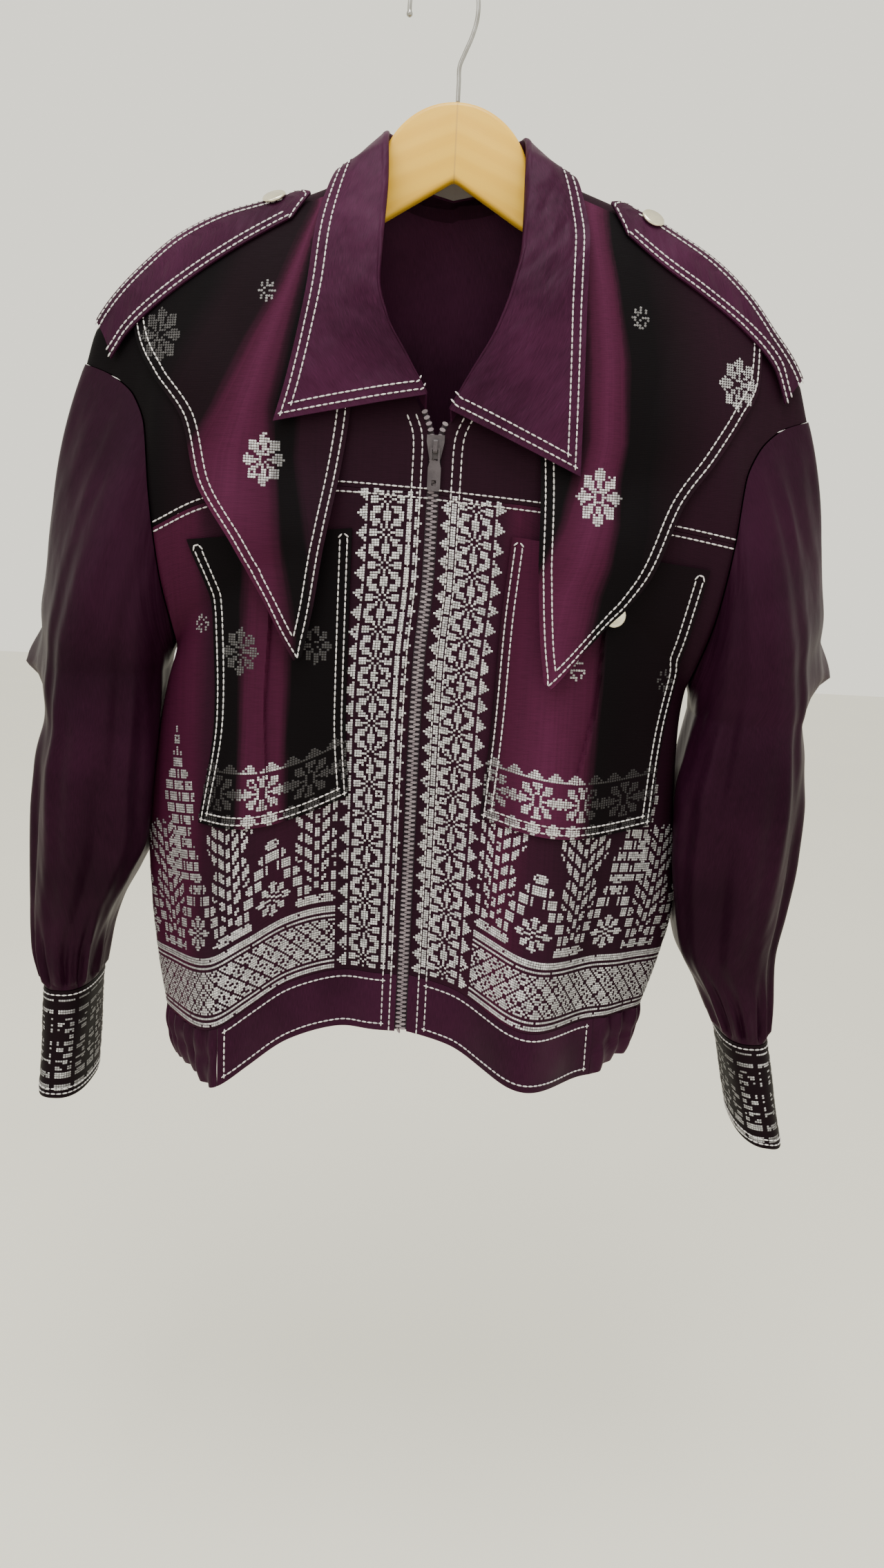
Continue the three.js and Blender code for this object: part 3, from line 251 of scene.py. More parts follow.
class Half:
    """One half of the front or back: u runs from the centre to the side, v from the waistband up."""

    def __init__(self, side, back):
        self.side, self.back, self.sign = side, back, SIGN[side]
        self.edge = smooth(SIDE["z" + side], SIDE["x" + side])
        self.ridge = smooth(SHOULDER["x" + side], SHOULDER["z" + side])
        self.band = smooth(BAND_TOP["x" + side], BAND_TOP["z" + side])
        self.neck = smooth(NECKLINE["z"], NECKLINE["x"])
        self.deep = smooth(CENTRE["z"], CENTRE["back" if back else "front"])
        self.drift = smooth(CENTRE["z"], CENTRE["drift"])
        self.tip, self.hem = SIDE["x" + side][0], SIDE["x" + side][-1]
        self.start = 0 if back else NECK_X
        self.under = self.rise(1, SIDE["z" + side][UNDERARM])
        self.rounds = 1 - SHOULDER_ROUND / (self.top(0.5) - self.bottom(0.5))

    def top(self, u):
        x = lerp(self.start, self.tip, u)
        dip = 15 * np.maximum(0, 1 - (x / NECK_X) ** 2) if self.back else 0
        return self.ridge(x) - dip

    def bottom(self, u):
        if self.back:
            return lerp(-790, self.band(self.hem), np.square(u))
        return self.band(lerp(0, self.hem, u))

    def z(self, u, v):
        return lerp(self.bottom(u), self.top(u), v)

    def rise(self, u, z):
        """The v at which a height z lies in a column u."""
        return (z - self.bottom(u)) / (self.top(u) - self.bottom(u))

    def x(self, u, v):
        return lerp(0 if self.back else self.neck(self.z(0, v)), self.edge(self.z(1, v)), u)

    def soft(self, x, z):
        """The slight waves of hanging cloth."""
        wave = np.sin(x / 17 + 1.3 * np.sin(z / 83) + (2 if self.side == "left" else 0))
        fine = np.sin(x / 9.5 - z / 47 + 1.7 * np.sin(z / 61 + x / 50))
        return (0.9 * wave + 0.45 * fine) * ease((-300 - z) / 160) * (0.55 if self.back else 1)

    def y(self, u, v):
        u, v = np.clip(u, 0, 1), np.clip(v, 0, 1)
        z, x = self.z(u, v), self.x(u, v)
        side = np.maximum(0, 1 - u ** SIDE_POWER) ** (1 / SIDE_POWER)
        neck = np.maximum(0, 1 - (lerp(self.start, self.tip, u) / NECK_X) ** 2) if self.back else 0
        lean = np.sqrt(np.maximum(0, 1 - np.maximum(0, (v - self.rounds) / (1 - self.rounds)) ** 2))
        w = np.minimum(1, 0.012 * np.logaddexp(0, (v - self.under) / (1 - self.under) / 0.012))
        ring = ARMHOLE_DEPTH * np.sqrt(4 * w * (1 - w))
        fold = 0
        if not self.back:
            for top, hem, depth, width, high, low in FOLDS[self.side]:
                t = np.clip((high - z) / (high - low), 0, 1)
                fold = fold + depth * t ** 1.35 * bell((x - lerp(top, hem, t)) / width)
        deep = lerp(ring, self.deep(z) * lerp(lean, 1, neck), side) + fold * np.sqrt(side)
        deep = deep + self.soft(x, z) * side
        return (1 if self.back else -1) * np.maximum(SEAM / 2, deep)

    def point(self, u, v):
        u, v = np.broadcast_arrays(np.asarray(u, float), np.asarray(v, float))
        shift = 0 if self.back else self.drift(self.z(u, v)) * (1 - u)
        return points(self.sign * self.x(u, v) + shift, self.y(u, v), self.z(u, v))

    def out(self, u, v):
        e = 0.004
        a, b = np.clip(u, e, 1 - e), np.clip(v, e, 1 - e)
        n = unit(np.cross(self.point(a + e, b) - self.point(a - e, b), self.point(a, b + e) - self.point(a, b - e)))
        facing = np.sign(n[..., 1:2] * (1 if self.back else -1))
        return n * np.where(facing == 0, 1, facing)

    def lifted(self, u, v, lift):
        return self.point(u, v) + self.out(u, v) * np.asarray(lift)[..., None]

    def find(self, x, z):
        """The u and v of a place seen from the front."""
        x, z = np.broadcast_arrays(np.asarray(x, float), np.asarray(z, float))
        low, high = np.zeros(x.shape), np.ones(x.shape)
        for _ in range(24):
            u = (low + high) / 2
            v = np.clip(self.rise(u, z), 0, 1)
            shift = 0 if self.back else self.sign * self.drift(z) * (1 - u)
            less = self.x(u, v) + shift < x
            low, high = np.where(less, u, low), np.where(less, high, u)
        return low, np.clip(self.rise(low, z), 0, 1)

    def crossing(self, u, seam):
        v = np.full(np.shape(u), 0.6)
        for _ in range(14):
            v = self.rise(u, seam(self.x(u, v)))
        return v


FRONT = {side: Half(side, False) for side in SIDES}
BACK = {side: Half(side, True) for side in SIDES}


class Cloth:
    """A grid of points, which way it faces, and how far along the cloth each point lies."""

    def __init__(self, grid, facing):
        self.p = grid
        self.rows, self.cols = grid.shape[:2]
        out = unit(np.cross(np.gradient(grid, axis=1), np.gradient(grid, axis=0)))
        middle = out[self.rows // 2, self.cols // 2]
        self.out = out * (1 if np.dot(middle, facing) > 0 else -1)
        wide = np.linalg.norm(np.diff(grid, axis=1), axis=-1)
        tall = np.linalg.norm(np.diff(grid, axis=0), axis=-1)
        self.u = np.concatenate([np.zeros((self.rows, 1)), np.cumsum(wide, 1)], 1)
        self.v = np.concatenate([np.zeros((1, self.cols)), np.cumsum(tall, 0)], 0)

    def sample(self, field, r, c):
        r, c = np.clip(r, 0, self.rows - 1.000001), np.clip(c, 0, self.cols - 1.000001)
        i, j = r.astype(int), c.astype(int)
        a, b = r - i, c - j
        if field.ndim == 3:
            a, b = a[..., None], b[..., None]
        return ((field[i, j] * (1 - b) + field[i, j + 1] * b) * (1 - a)
                + (field[i + 1, j] * (1 - b) + field[i + 1, j + 1] * b) * a)

    def locate(self, u, v, cu=None, cv=None):
        """The row and column of a place in cloth lengths, and whether the cloth reaches it."""
        cu = self.u if cu is None else cu
        cv = self.v if cv is None else cv
        du, dv = np.gradient(cu, axis=1), np.gradient(cv, axis=0)
        r, c = np.full(u.shape, self.rows / 2), np.full(u.shape, self.cols / 2)
        for _ in range(16):
            c = np.clip(c + (u - self.sample(cu, r, c)) / self.sample(du, r, c), 0, self.cols - 1)
            r = np.clip(r + (v - self.sample(cv, r, c)) / self.sample(dv, r, c), 0, self.rows - 1)
        near = (np.abs(u - self.sample(cu, r, c)) < 0.4) & (np.abs(v - self.sample(cv, r, c)) < 0.4)
        return r, c, near

    def across(self, r, inset):
        """The column that lies an inset in from the first edge, or from the last if negative."""
        r = np.atleast_1d(np.asarray(r, float))
        steps = np.arange(self.cols)
        found = []
        for row in r:
            i = int(min(max(row, 0), self.rows - 1))
            j = min(i + 1, self.rows - 1)
            length = lerp(self.u[i], self.u[j], row - i)
            found.append(np.interp(inset if inset >= 0 else length[-1] + inset, length, steps))
        return np.array(found)

    def down(self, c, inset):
        """The row that lies an inset in from the first row, or from the last if negative."""
        c = int(round(float(c)))
        length = self.v[:, c]
        return float(np.interp(inset if inset >= 0 else length[-1] + inset, length, np.arange(self.rows)))


# ---------- meshes ----------
def home(p):
    """Millimetres in the garment's frame to metres in the part's."""
    return (np.asarray(p, float) + (HOOK_OFFSET, 0, 0)) * 0.001


def link(name, mesh, materials=()):
    piece = bpy.data.objects.new(name, mesh)
    bpy.context.scene.collection.objects.link(piece)
    for material in materials:
        mesh.materials.append(material)
    return piece


def mesh_of(name, verts, faces, uv=None, parts=None, sharp=48):
    """A smooth mesh, its faces turned outwards; uv is one pair a vertex, in metres of cloth."""
    mesh = bpy.data.meshes.new(name)
    verts, faces = np.asarray(verts, float), np.asarray(faces, np.int32)
    a, b, c = verts[faces[:, 0]], verts[faces[:, 1]], verts[faces[:, 2]]
    volume = np.einsum("ij,ij->i", a, np.cross(b, c)).sum()
    if faces.shape[1] == 4:
        d = verts[faces[:, 3]]
        volume += np.einsum("ij,ij->i", a, np.cross(c, d)).sum()
    if volume < 0:
        faces = faces[:, ::-1]
    mesh.vertices.add(len(verts))
    mesh.vertices.foreach_set("co", verts.astype(np.float32).ravel())
    n = faces.shape[1]
    mesh.loops.add(faces.size)
    mesh.loops.foreach_set("vertex_index", faces.ravel())
    mesh.polygons.add(len(faces))
    mesh.polygons.foreach_set("loop_start", np.arange(0, faces.size, n, dtype=np.int32))
    if parts is not None:
        mesh.polygons.foreach_set("material_index", np.asarray(parts, np.int32))
    mesh.update(calc_edges=True)
    if uv is not None:
        layer = mesh.uv_layers.new(name="cloth")
        layer.data.foreach_set("uv", np.asarray(uv, np.float32)[faces.ravel()].ravel())
    mesh.shade_smooth()
    mesh.set_sharp_from_angle(angle=math.radians(sharp))
    mesh.validate()
    return mesh


def wall_mesh(name, cloth, wall, closed=False, uv=None):
    """A closed wall whose outer face is the cloth's grid; its inner face is the second part."""
    rows, cols = cloth.rows, cloth.cols - (1 if closed else 0)
    out = cloth.out
    if closed:
        seam = unit(out[:, 0] + out[:, -1])
        out = np.concatenate([seam[:, None], out[:, 1:-1], seam[:, None]], 1)
    outer, inner = cloth.p[:, :cols], (cloth.p - out * wall)[:, :cols]
    verts = home(np.concatenate([outer.reshape(-1, 3), inner.reshape(-1, 3)]))
    r, c = np.meshgrid(np.arange(rows - 1), np.arange(cols if closed else cols - 1), indexing="ij")
    r, c = r.ravel(), c.ravel()
    d = (c + 1) % cols
    front = np.stack([r * cols + c, r * cols + d, (r + 1) * cols + d, (r + 1) * cols + c], 1)
    far = rows * cols
    behind = front[:, ::-1] + far
    rims = []

    def rim(line):
        rims.append(np.stack([line[1:], line[:-1], line[:-1] + far, line[1:] + far], 1))

    index = np.arange(rows * cols).reshape(rows, cols)
    if closed:
        rim(np.append(index[0], index[0, 0]))
        rim(np.append(index[-1], index[-1, 0])[::-1])
    else:
        rim(index[0])
        rim(index[-1][::-1])
        rim(index[:, 0][::-1])
        rim(index[:, -1])
    edge = np.concatenate(rims)
    faces = np.concatenate([front, behind, edge])
    parts = np.concatenate([np.zeros(len(front)), np.ones(len(behind)), np.zeros(len(edge))])
    lengths = np.stack([cloth.u, cloth.v], -1) if uv is None else uv
    flat = (lengths[:, :cols] * 0.001).reshape(-1, 2)
    return mesh_of(name, verts, faces, np.concatenate([flat, flat]), parts)


def area_of(mesh):
    areas = np.zeros(len(mesh.polygons))
    mesh.polygons.foreach_get("area", areas)
    return float(areas.sum())


def sew(name, cloth, wall, outer, inner, node, closed=False, uv=None):
    """A cloth piece that stands for its solid, which it hides; its area is worked out but not used."""
    mesh = wall_mesh(name, cloth, wall, closed, uv)
    piece = link(name, mesh, (outer, inner))
    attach(piece, "jacket")
    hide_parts(node)
    area = area_of(mesh) / 2


def turned(name, loops):
    """A tube through matching loops of points, closed at its ends, in the garment's frame."""
    n, rings = loops.shape[1], loops.shape[0]
    verts = list(home(loops.reshape(-1, 3)))
    i = np.arange(rings - 1)[:, None] * n + np.arange(n)[None]
    j = np.arange(rings - 1)[:, None] * n + (np.arange(n)[None] + 1) % n
    quads = np.stack([i.ravel(), j.ravel(), (j + n).ravel(), (i + n).ravel()], 1)
    tris = np.concatenate([quads[:, [0, 1, 2]], quads[:, [0, 2, 3]]])
    for ring, order in ((0, -1), (rings - 1, 1)):
        verts.append(home(loops[ring].mean(0)))
        hub = len(verts) - 1
        a = ring * n + np.arange(n)
        b = ring * n + (np.arange(n) + 1) % n
        fan = np.stack([a, b, np.full(n, hub)], 1)
        tris = np.concatenate([tris, fan[:, ::order]])
    return mesh_of(name, verts, tris, sharp=40)


# ---------- nodes ----------
class Wire:
    """A node's socket, so that node maths reads as arithmetic."""

    def __init__(self, board, socket):
        self.board, self.socket = board, socket

    def maths(self, operation, *values):
        node = self.board.tree.nodes.new("ShaderNodeMath")
        node.operation = operation
        for slot, value in zip(node.inputs, values):
            self.board.plug(slot, value)
        return Wire(self.board, node.outputs[0])

    def __add__(self, other):
        return self.maths("ADD", self, other)

    def __sub__(self, other):
        return self.maths("SUBTRACT", self, other)

    def __rsub__(self, other):
        return self.maths("SUBTRACT", other, self)

    def __mul__(self, other):
        return self.maths("MULTIPLY", self, other)

    def __truediv__(self, other):
        return self.maths("DIVIDE", self, other)

    __radd__, __rmul__ = __add__, __mul__

    def sine(self):
        return self.maths("SINE", self)

    def size(self):
        return self.maths("ABSOLUTE", self)


class Board:
    """A tree of nodes: a material's, or a modifier's."""

    def __init__(self, tree):
        self.tree = tree

    def plug(self, slot, value):
        if isinstance(value, Wire):
            self.tree.links.new(value.socket, slot)
        else:
            slot.default_value = value

    def node(self, kind, settings=None, sockets=None, out=0):
        node = self.tree.nodes.new(kind)
        for name, value in (settings or {}).items():
            if name == "stops":
                ramp = node.color_ramp
                while len(ramp.elements) < len(value):
                    ramp.elements.new(0.5)
                for element, (place, colour) in zip(ramp.elements, value):
                    element.position, element.color = place, (*colour, 1)
            else:
                setattr(node, name, value)
        for name, value in (sockets or {}).items():
            self.plug(node.inputs[name], value)
        return Wire(self, node.outputs[out])

    def noise(self, place, scale, detail=3.0, roughness=0.55):
        return self.node("ShaderNodeTexNoise", None, {
            "Vector": place, "Scale": scale, "Detail": detail, "Roughness": roughness})

    def stretched(self, place, scale):
        return self.node("ShaderNodeMapping", None, {"Vector": place, "Scale": scale})

    def axis(self, place, number):
        return self.node("ShaderNodeSeparateXYZ", None, {"Vector": place}, out=number)

    def blend(self, share, first, second):
        node = self.tree.nodes.new("ShaderNodeMix")
        node.data_type = "RGBA"
        self.plug(node.inputs[0], share)
        for slot, colour in ((node.inputs[6], first), (node.inputs[7], second)):
            self.plug(slot, colour if isinstance(colour, Wire) else (*colour, 1))
        return Wire(self, node.outputs[2])

    def band(self, value, low, high):
        """0 below low, 1 above high, and even in between."""
        return self.node("ShaderNodeMapRange", {"interpolation_type": "SMOOTHSTEP"}, {
            "Value": value, "From Min": low, "From Max": high})

    def bump(self, height, distance, strength=1.0, normal=None):
        sockets = {"Height": height, "Distance": distance, "Strength": strength}
        if normal is not None:
            sockets["Normal"] = normal
        return self.node("ShaderNodeBump", None, sockets)


def finish(name, colour, roughness, normal=None, **fixed):
    """A material from a board's wires; fixed values sit on the shader's own sockets."""
    shader = colour.board.tree.nodes["Principled BSDF"]
    colour.board.plug(shader.inputs["Base Color"], colour)
    colour.board.plug(shader.inputs["Roughness"], roughness)
    if normal is not None:
        colour.board.plug(shader.inputs["Normal"], normal)
    for key, value in fixed.items():
        shader.inputs[key.replace("_", " ")].default_value = value
    return paint(name)


def board(name):
    material = bpy.data.materials.new("finish_" + name)
    material.use_nodes = True
    return Board(material.node_tree)


def cloth_place(b):
    return b.node("ShaderNodeUVMap", {"uv_map": "cloth"})


def solid_place(b):
    return b.node("ShaderNodeTexCoord", out="Object")


def satin(name, deep, bright, rough=0.46, crumple=0.0026):
    """Plum satin: a close warp with a soft shine and painted sheen, crushed a little where it was handled."""
    b = board(name)
    place = cloth_place(b)
    solid = solid_place(b)
    cloud = b.noise(solid, 9.0, 4.0)
    crush = b.noise(b.stretched(place, (16, 9, 1)), 1.5, 2.5, 0.5)
    warp = b.noise(b.stretched(place, (2600, 130, 1)), 1.0, 2.0)
    # painted sheen: noise blends the satin between its shaded and its lit colour, in soft clouds and streaks along the
    # warp
    shade = b.band(cloud * 0.6 + warp * 0.4, 0.3, 0.72)
    colour = b.blend(shade, deep, bright)
    rough_at = rough - 0.05 + crush * 0.12 + warp * 0.05
    fine = b.bump(warp, 0.00012, 0.5)
    normal = b.bump(crush, crumple, 0.7, fine)
    return finish(name, colour, rough_at, normal, Specular_IOR_Level=0.07,
                  Specular_Tint=(1.0, 0.62, 0.82, 1))


def songket(name, stops, low, high, rough=0.62):
    """Ground cloth of the songket: soft-edged stripes along the warp, and a fine weft rib.
    stops give the colour at each distance across, in the millimetres of the piece's UV map."""
    b = board(name)
    place = cloth_place(b)
    apart, along = b.axis(place, 0), b.axis(place, 1)
    waver = b.noise(b.stretched(place, (30, 5, 1)), 1.0, 3.0) - 0.5
    streak = b.noise(b.stretched(place, (420, 9, 1)), 1.0, 3.0)
    at = (apart * 1000.0 + waver * 13.0 + streak * 5.0 - 2.5 - low) / (high - low)
    ramp = b.node("ShaderNodeValToRGB", {
        "stops": [((p - low) / (high - low), c) for p, c in stops]}, {"Fac": at})
    rib = (along * (math.tau / 0.00125)).sine() * 0.5 + 0.5
    slub = b.noise(b.stretched(place, (90, 900, 1)), 1.0, 3.0)
    colour = b.blend(b.band(slub * 0.5 + streak * 0.42 + rib * 0.08, 0.35, 0.85) * 0.4, ramp, (0.0025, 0.0014, 0.002))
    soft = b.noise(b.stretched(place, (11, 8, 1)), 1.4, 4.0)
    fine = b.bump(rib * 0.3 + slub * 0.8, 0.0002, 0.6)
    normal = b.bump(soft, 0.0014, 0.4, fine)
    return finish(name, colour, rough - 0.06 + slub * 0.14, normal, Specular_IOR_Level=0.06)


def silver_thread(name):
    """Flat silver thread with painted glints: bright over the plum, darker where its shade attribute falls, which is
    tarnish over the black stripes and painted shade at the cuffs' sides.
    """
    b = board(name)
    shade = b.node("ShaderNodeAttribute", {"attribute_name": "shade"}, out="Fac")
    solid = solid_place(b)
    strand = b.noise(b.stretched(solid, (260, 260, 1300)), 1.0, 2.0)
    glint = b.noise(solid, 340.0, 2.0)
    bright = b.blend(b.band(glint, 0.35, 0.7), (0.33, 0.325, 0.335), (0.68, 0.67, 0.68))
    colour = b.blend(shade * shade, (0.014, 0.011, 0.013), bright)
    shader = b.tree.nodes["Principled BSDF"]
    b.plug(shader.inputs["Metallic"], shade * 0.35 + 0.15)
    return finish(name, colour, 0.3 + strand * 0.25, b.bump(strand, 0.0002, 0.6))


def thread(name, colour, dark):
    """Thick twisted sewing thread."""
    b = board(name)
    solid = solid_place(b)
    ply = b.noise(b.stretched(solid, (1500, 1500, 500)), 1.0, 2.0)
    return finish(name, b.blend(b.band(ply, 0.3, 0.7), dark, colour), 0.7 - ply * 0.15,
                  b.bump(ply, 0.0002, 0.7))


def moulded(name, colour, worn):
    """Moulded zip plastic, a little scuffed."""
    b = board(name)
    solid = solid_place(b)
    cloud, scuff = b.noise(solid, 60.0, 4.0), b.noise(solid, 900.0, 3.0)
    return finish(name, b.blend(b.band(cloud * 0.7 + scuff * 0.3, 0.4, 0.65), colour, worn),
                  0.38 + scuff * 0.2, b.bump(scuff, 0.0001, 0.5))


def tape_cloth(name, colour, dark):
    """Knitted zip tape, and other narrow woven strips."""
    b = board(name)
    place = cloth_place(b)
    apart, along = b.axis(place, 0), b.axis(place, 1)
    knit = (apart * (math.tau / 0.0011)).sine() * (along * (math.tau / 0.0009)).sine() * 0.5 + 0.5
    wear = b.noise(b.stretched(place, (60, 30, 1)), 1.0, 3.0)
    return finish(name, b.blend(knit * 0.6 + wear * 0.4, dark, colour), 0.78 + wear * 0.1,
                  b.bump(knit, 0.0002, 0.6))


def polished(name, colour, dull, rough):
    """Bright metal with fine rubbing marks."""
    b = board(name)
    solid = solid_place(b)
    rub, cloud = b.noise(b.stretched(solid, (1, 1, 6)), 700.0, 3.0), b.noise(solid, 40.0, 3.0)
    return finish(name, b.blend(b.band(cloud, 0.35, 0.7), dull, colour), rough - 0.04 + rub * 0.1,
                  b.bump(rub, 0.00004, 0.4), Metallic=1.0)


def honey_wood(name):
    """Pale varnished wood whose grain runs down each arm from the middle joint."""
    b = board(name)
    solid = solid_place(b)
    arm = (b.axis(solid, 0) - HOOK_OFFSET * 0.001).size()
    y, z = b.axis(solid, 1), b.axis(solid, 2)
    across = z + arm * 0.42
    grain_at = b.node("ShaderNodeCombineXYZ", None, {"X": arm * 4.0 + y * 6.0, "Y": across * 60.0, "Z": y * 30.0})
    grain = b.noise(grain_at, 1.6, 6.0, 0.62)
    ring = ((across * 420.0 + grain * 5.0).sine() * 0.5 + 0.5) * 0.5 + grain * 0.5
    pore = b.noise(b.stretched(grain_at, (3, 14, 8)), 3.0, 3.0)
    wood = b.blend(b.band(ring, 0.25, 0.85), (0.79, 0.435, 0.018), (0.84, 0.485, 0.03))
    wood = b.blend(b.band(pore, 0.6, 0.75) * 0.25, wood, (0.5, 0.28, 0.09))
    joint = (1.0 - b.band(arm, 0.0002, 0.0009)) * 0.45
    wood = b.blend(joint, wood, (0.36, 0.2, 0.07))
    normal = b.bump(pore * 0.6 + b.band(arm, 0.0, 0.0008), 0.0002, 0.5)
    return finish(name, wood, 0.36 + pore * 0.14, normal, Coat_Weight=0.15, Coat_Roughness=0.2)


def floor_finish(name):
    b = board(name)
    solid = solid_place(b)
    cloud = b.noise(solid, 1.7, 3.0)
    return finish(name, b.blend(cloud, (0.8, 0.78, 0.7), (0.86, 0.84, 0.755)), 0.45 + cloud * 0.1)


PLUM, MAGENTA, BLACK = (0.014, 0.003, 0.0085), (0.045, 0.0058, 0.022), (0.0018, 0.0009, 0.0016)
DUSK, ROSE, NIGHT = (0.024, 0.0042, 0.0135), (0.068, 0.0105, 0.036), (0.0062, 0.0018, 0.004)
GROUND = {  # the stripes of each cut: millimetres across the cloth as its UV map has them, and colour
    "body_left": [(0, PLUM), (60, PLUM), (110, DUSK), (150, PLUM), (172, DUSK), (184, MAGENTA),
                  (215, MAGENTA), (260, DUSK)],
    "body_right": [(0, PLUM), (50, DUSK), (62, MAGENTA), (84, DUSK), (130, PLUM), (260, PLUM)],
    # the left yoke turns dark past 188 mm across, towards the armhole
    "yoke_left": [(0, PLUM), (160, PLUM), (188, NIGHT), (210, BLACK), (300, BLACK)],
    "yoke_right": [(0, PLUM), (160, PLUM), (300, PLUM)],
    "pocket_left": [(50, BLACK), (104, BLACK), (112, MAGENTA), (136, MAGENTA), (145, BLACK),
                    (172, BLACK), (200, NIGHT)],
    "pocket_right": [(50, NIGHT), (62, MAGENTA), (92, ROSE), (122, MAGENTA), (132, BLACK), (240, NIGHT)],
    "flap_left": [(50, PLUM), (94, PLUM), (101, BLACK), (112, BLACK), (120, MAGENTA), (138, ROSE),
                  (153, MAGENTA), (166, NIGHT), (195, NIGHT), (215, BLACK), (300, BLACK)],
    "flap_right": [(50, BLACK), (112, BLACK), (119, MAGENTA), (138, ROSE), (154, MAGENTA), (163, BLACK),
                   (182, BLACK), (200, NIGHT), (232, PLUM), (300, PLUM)],
    "back": [(0, DUSK), (22, MAGENTA), (62, MAGENTA), (80, BLACK), (128, BLACK), (146, DUSK),
             (176, MAGENTA), (204, MAGENTA), (230, BLACK), (260, BLACK)],
    "cuff": [(0, BLACK), (55, NIGHT), (100, BLACK), (160, PLUM), (230, BLACK)],
}
FOLD_OVER = {  # where the flaps' stripes change colour down each flap, as z and distances from the centre
    "left": [(-170, 88, 95, 99), (-233, 90, 110, 122), (-270, 95, 117, 141), (-318, 106, 126, 164),
             (-354, 107, 123, 186), (-430, 94, 114, 200), (-480, 90, 103, 200)],
    "right": [(-170, 70, 92, 114), (-193, 70, 97, 117), (-220, 70, 102, 123), (-275, 70, 107, 132),
              (-331, 70, 109, 136), (-361, 70, 103, 133), (-391, 70, 95, 134), (-420, 62, 83, 130),
              (-443, 55, 72, 123), (-480, 50, 66, 118)],
}


def make_materials():
    """Every finish, once; later pieces look theirs up by name."""
    settings = bpy.context.scene.jacket_colours
    deep, bright = tuple(settings.satin_deep), tuple(settings.satin_bright)
    satin("satin", deep, bright)
    # painted shade: the sleeves' satin is a darker copy of the satin
    satin("satin_sleeve", tuple(0.7 * c for c in deep), tuple(0.68 * c for c in bright), 0.4, 0.005)
    # painted light: the collar's and epaulettes' satin is a brighter copy of the satin, as well as more crumpled
    satin("satin_crumpled", tuple(1.2 * c for c in deep), tuple(1.5 * c for c in bright), 0.4, 0.016)
    satin("lining", tuple(0.55 * c for c in deep), tuple(0.6 * c for c in bright), 0.5)
    for name, stops in GROUND.items():
        songket("songket_" + name, stops, stops[0][0], stops[-1][0])
    silver_thread("silver_thread")
    thread("stitch_thread", tuple(settings.stitch), (0.5, 0.48, 0.48))
    moulded("zip_plastic", (0.15, 0.118, 0.138), (0.22, 0.18, 0.2))
    moulded("zip_pull", (0.036, 0.027, 0.033), (0.062, 0.049, 0.057))
    tape_cloth("zip_tape", (0.05, 0.032, 0.045), (0.02, 0.012, 0.018))
    # painted shade: the label's pale cloth is darkened, as it lies in the shadow of the collar's stand
    tape_cloth("label_cloth", (0.2, 0.18, 0.175), (0.13, 0.115, 0.112))
    polished("button_metal", (0.78, 0.73, 0.56), (0.6, 0.56, 0.43), 0.24)
    polished("hook_wire", (0.5, 0.5, 0.49), (0.3, 0.29, 0.27), 0.28)
    honey_wood("hanger_wood")


def paint(name):
    """A finish by name; the frame has plain materials of its own with the bare names."""
    return bpy.data.materials["finish_" + name]


# ---------- what repeats: stitches, silver floats and zip teeth ----------
def named(b, name, kind):
    return b.node("GeometryNodeInputNamedAttribute", {"data_type": kind}, {"Name": name})


def new_tree(name, inputs):
    tree = bpy.data.node_groups.new(name, "GeometryNodeTree")
    tree.interface.new_socket(name="Geometry", in_out="INPUT", socket_type="NodeSocketGeometry")
    for title, kind, value in inputs:
        socket = tree.interface.new_socket(name=title, in_out="INPUT", socket_type="NodeSocket" + kind)
        if value is not None:
            socket.default_value = value
    tree.interface.new_socket(name="Geometry", in_out="OUTPUT", socket_type="NodeSocketGeometry")
    b = Board(tree)
    source = tree.nodes.new("NodeGroupInput")
    wires = {socket.name: Wire(b, socket) for socket in source.outputs if socket.name}
    return tree, b, wires


def close_tree(tree, b, shape, material):
    real = b.node("GeometryNodeRealizeInstances", None, {"Geometry": shape})
    done = b.node("GeometryNodeSetMaterial", None, {"Geometry": real, "Material": material})
    end = tree.nodes.new("NodeGroupOutput")
    b.plug(end.inputs[0], done)
    return tree


def facing(b, along, out):
    return b.node("FunctionNodeAxesToRotation", {"primary_axis": "X", "secondary_axis": "Z"}, {
        "Primary Axis": along, "Secondary Axis": out})


def size_vector(b, x, y, z):
    return b.node("ShaderNodeCombineXYZ", None, {"X": x, "Y": y, "Z": z})


def stitch_tree():
    """Stitches along each run of the seam: rounded bars a pitch apart, each a little askew."""
    tree, b, w = new_tree("stitches", [
        ("Pitch", "Float", 0.0048), ("Length", "Float", 0.0041), ("Thickness", "Float", 0.001),
        ("Seed", "Int", 7), ("Material", "Material", None)])
    curve = b.node("GeometryNodeMeshToCurve", None, {"Mesh": w["Geometry"]})
    runs = b.node("GeometryNodeResampleCurve", {"mode": "LENGTH"}, {"Curve": curve, "Length": w["Pitch"]})
    bar = b.node("GeometryNodeMeshUVSphere", None, {"Segments": 5, "Rings": 4, "Radius": 0.5})
    smooth_bar = b.node("GeometryNodeSetShadeSmooth", None, {"Geometry": bar})
    turned_bar = b.node("GeometryNodeTransform", None, {
        "Geometry": smooth_bar, "Rotation": (0, math.pi / 2, math.radians(5))})
    tangent = b.node("GeometryNodeInputTangent")
    askew = b.node("FunctionNodeRandomValue", {"data_type": "FLOAT"}, {"Seed": w["Seed"]}, out=1)
    random_node = askew.socket.node
    random_node.inputs[2].default_value, random_node.inputs[3].default_value = 0.9, 1.05
    placed = b.node("GeometryNodeInstanceOnPoints", None, {
        "Points": runs, "Instance": turned_bar, "Rotation": facing(b, tangent, named(b, "out", "FLOAT_VECTOR")),
        "Scale": size_vector(b, w["Length"] * askew, w["Thickness"], w["Thickness"] * 0.8)})
    return close_tree(tree, b, placed, w["Material"])


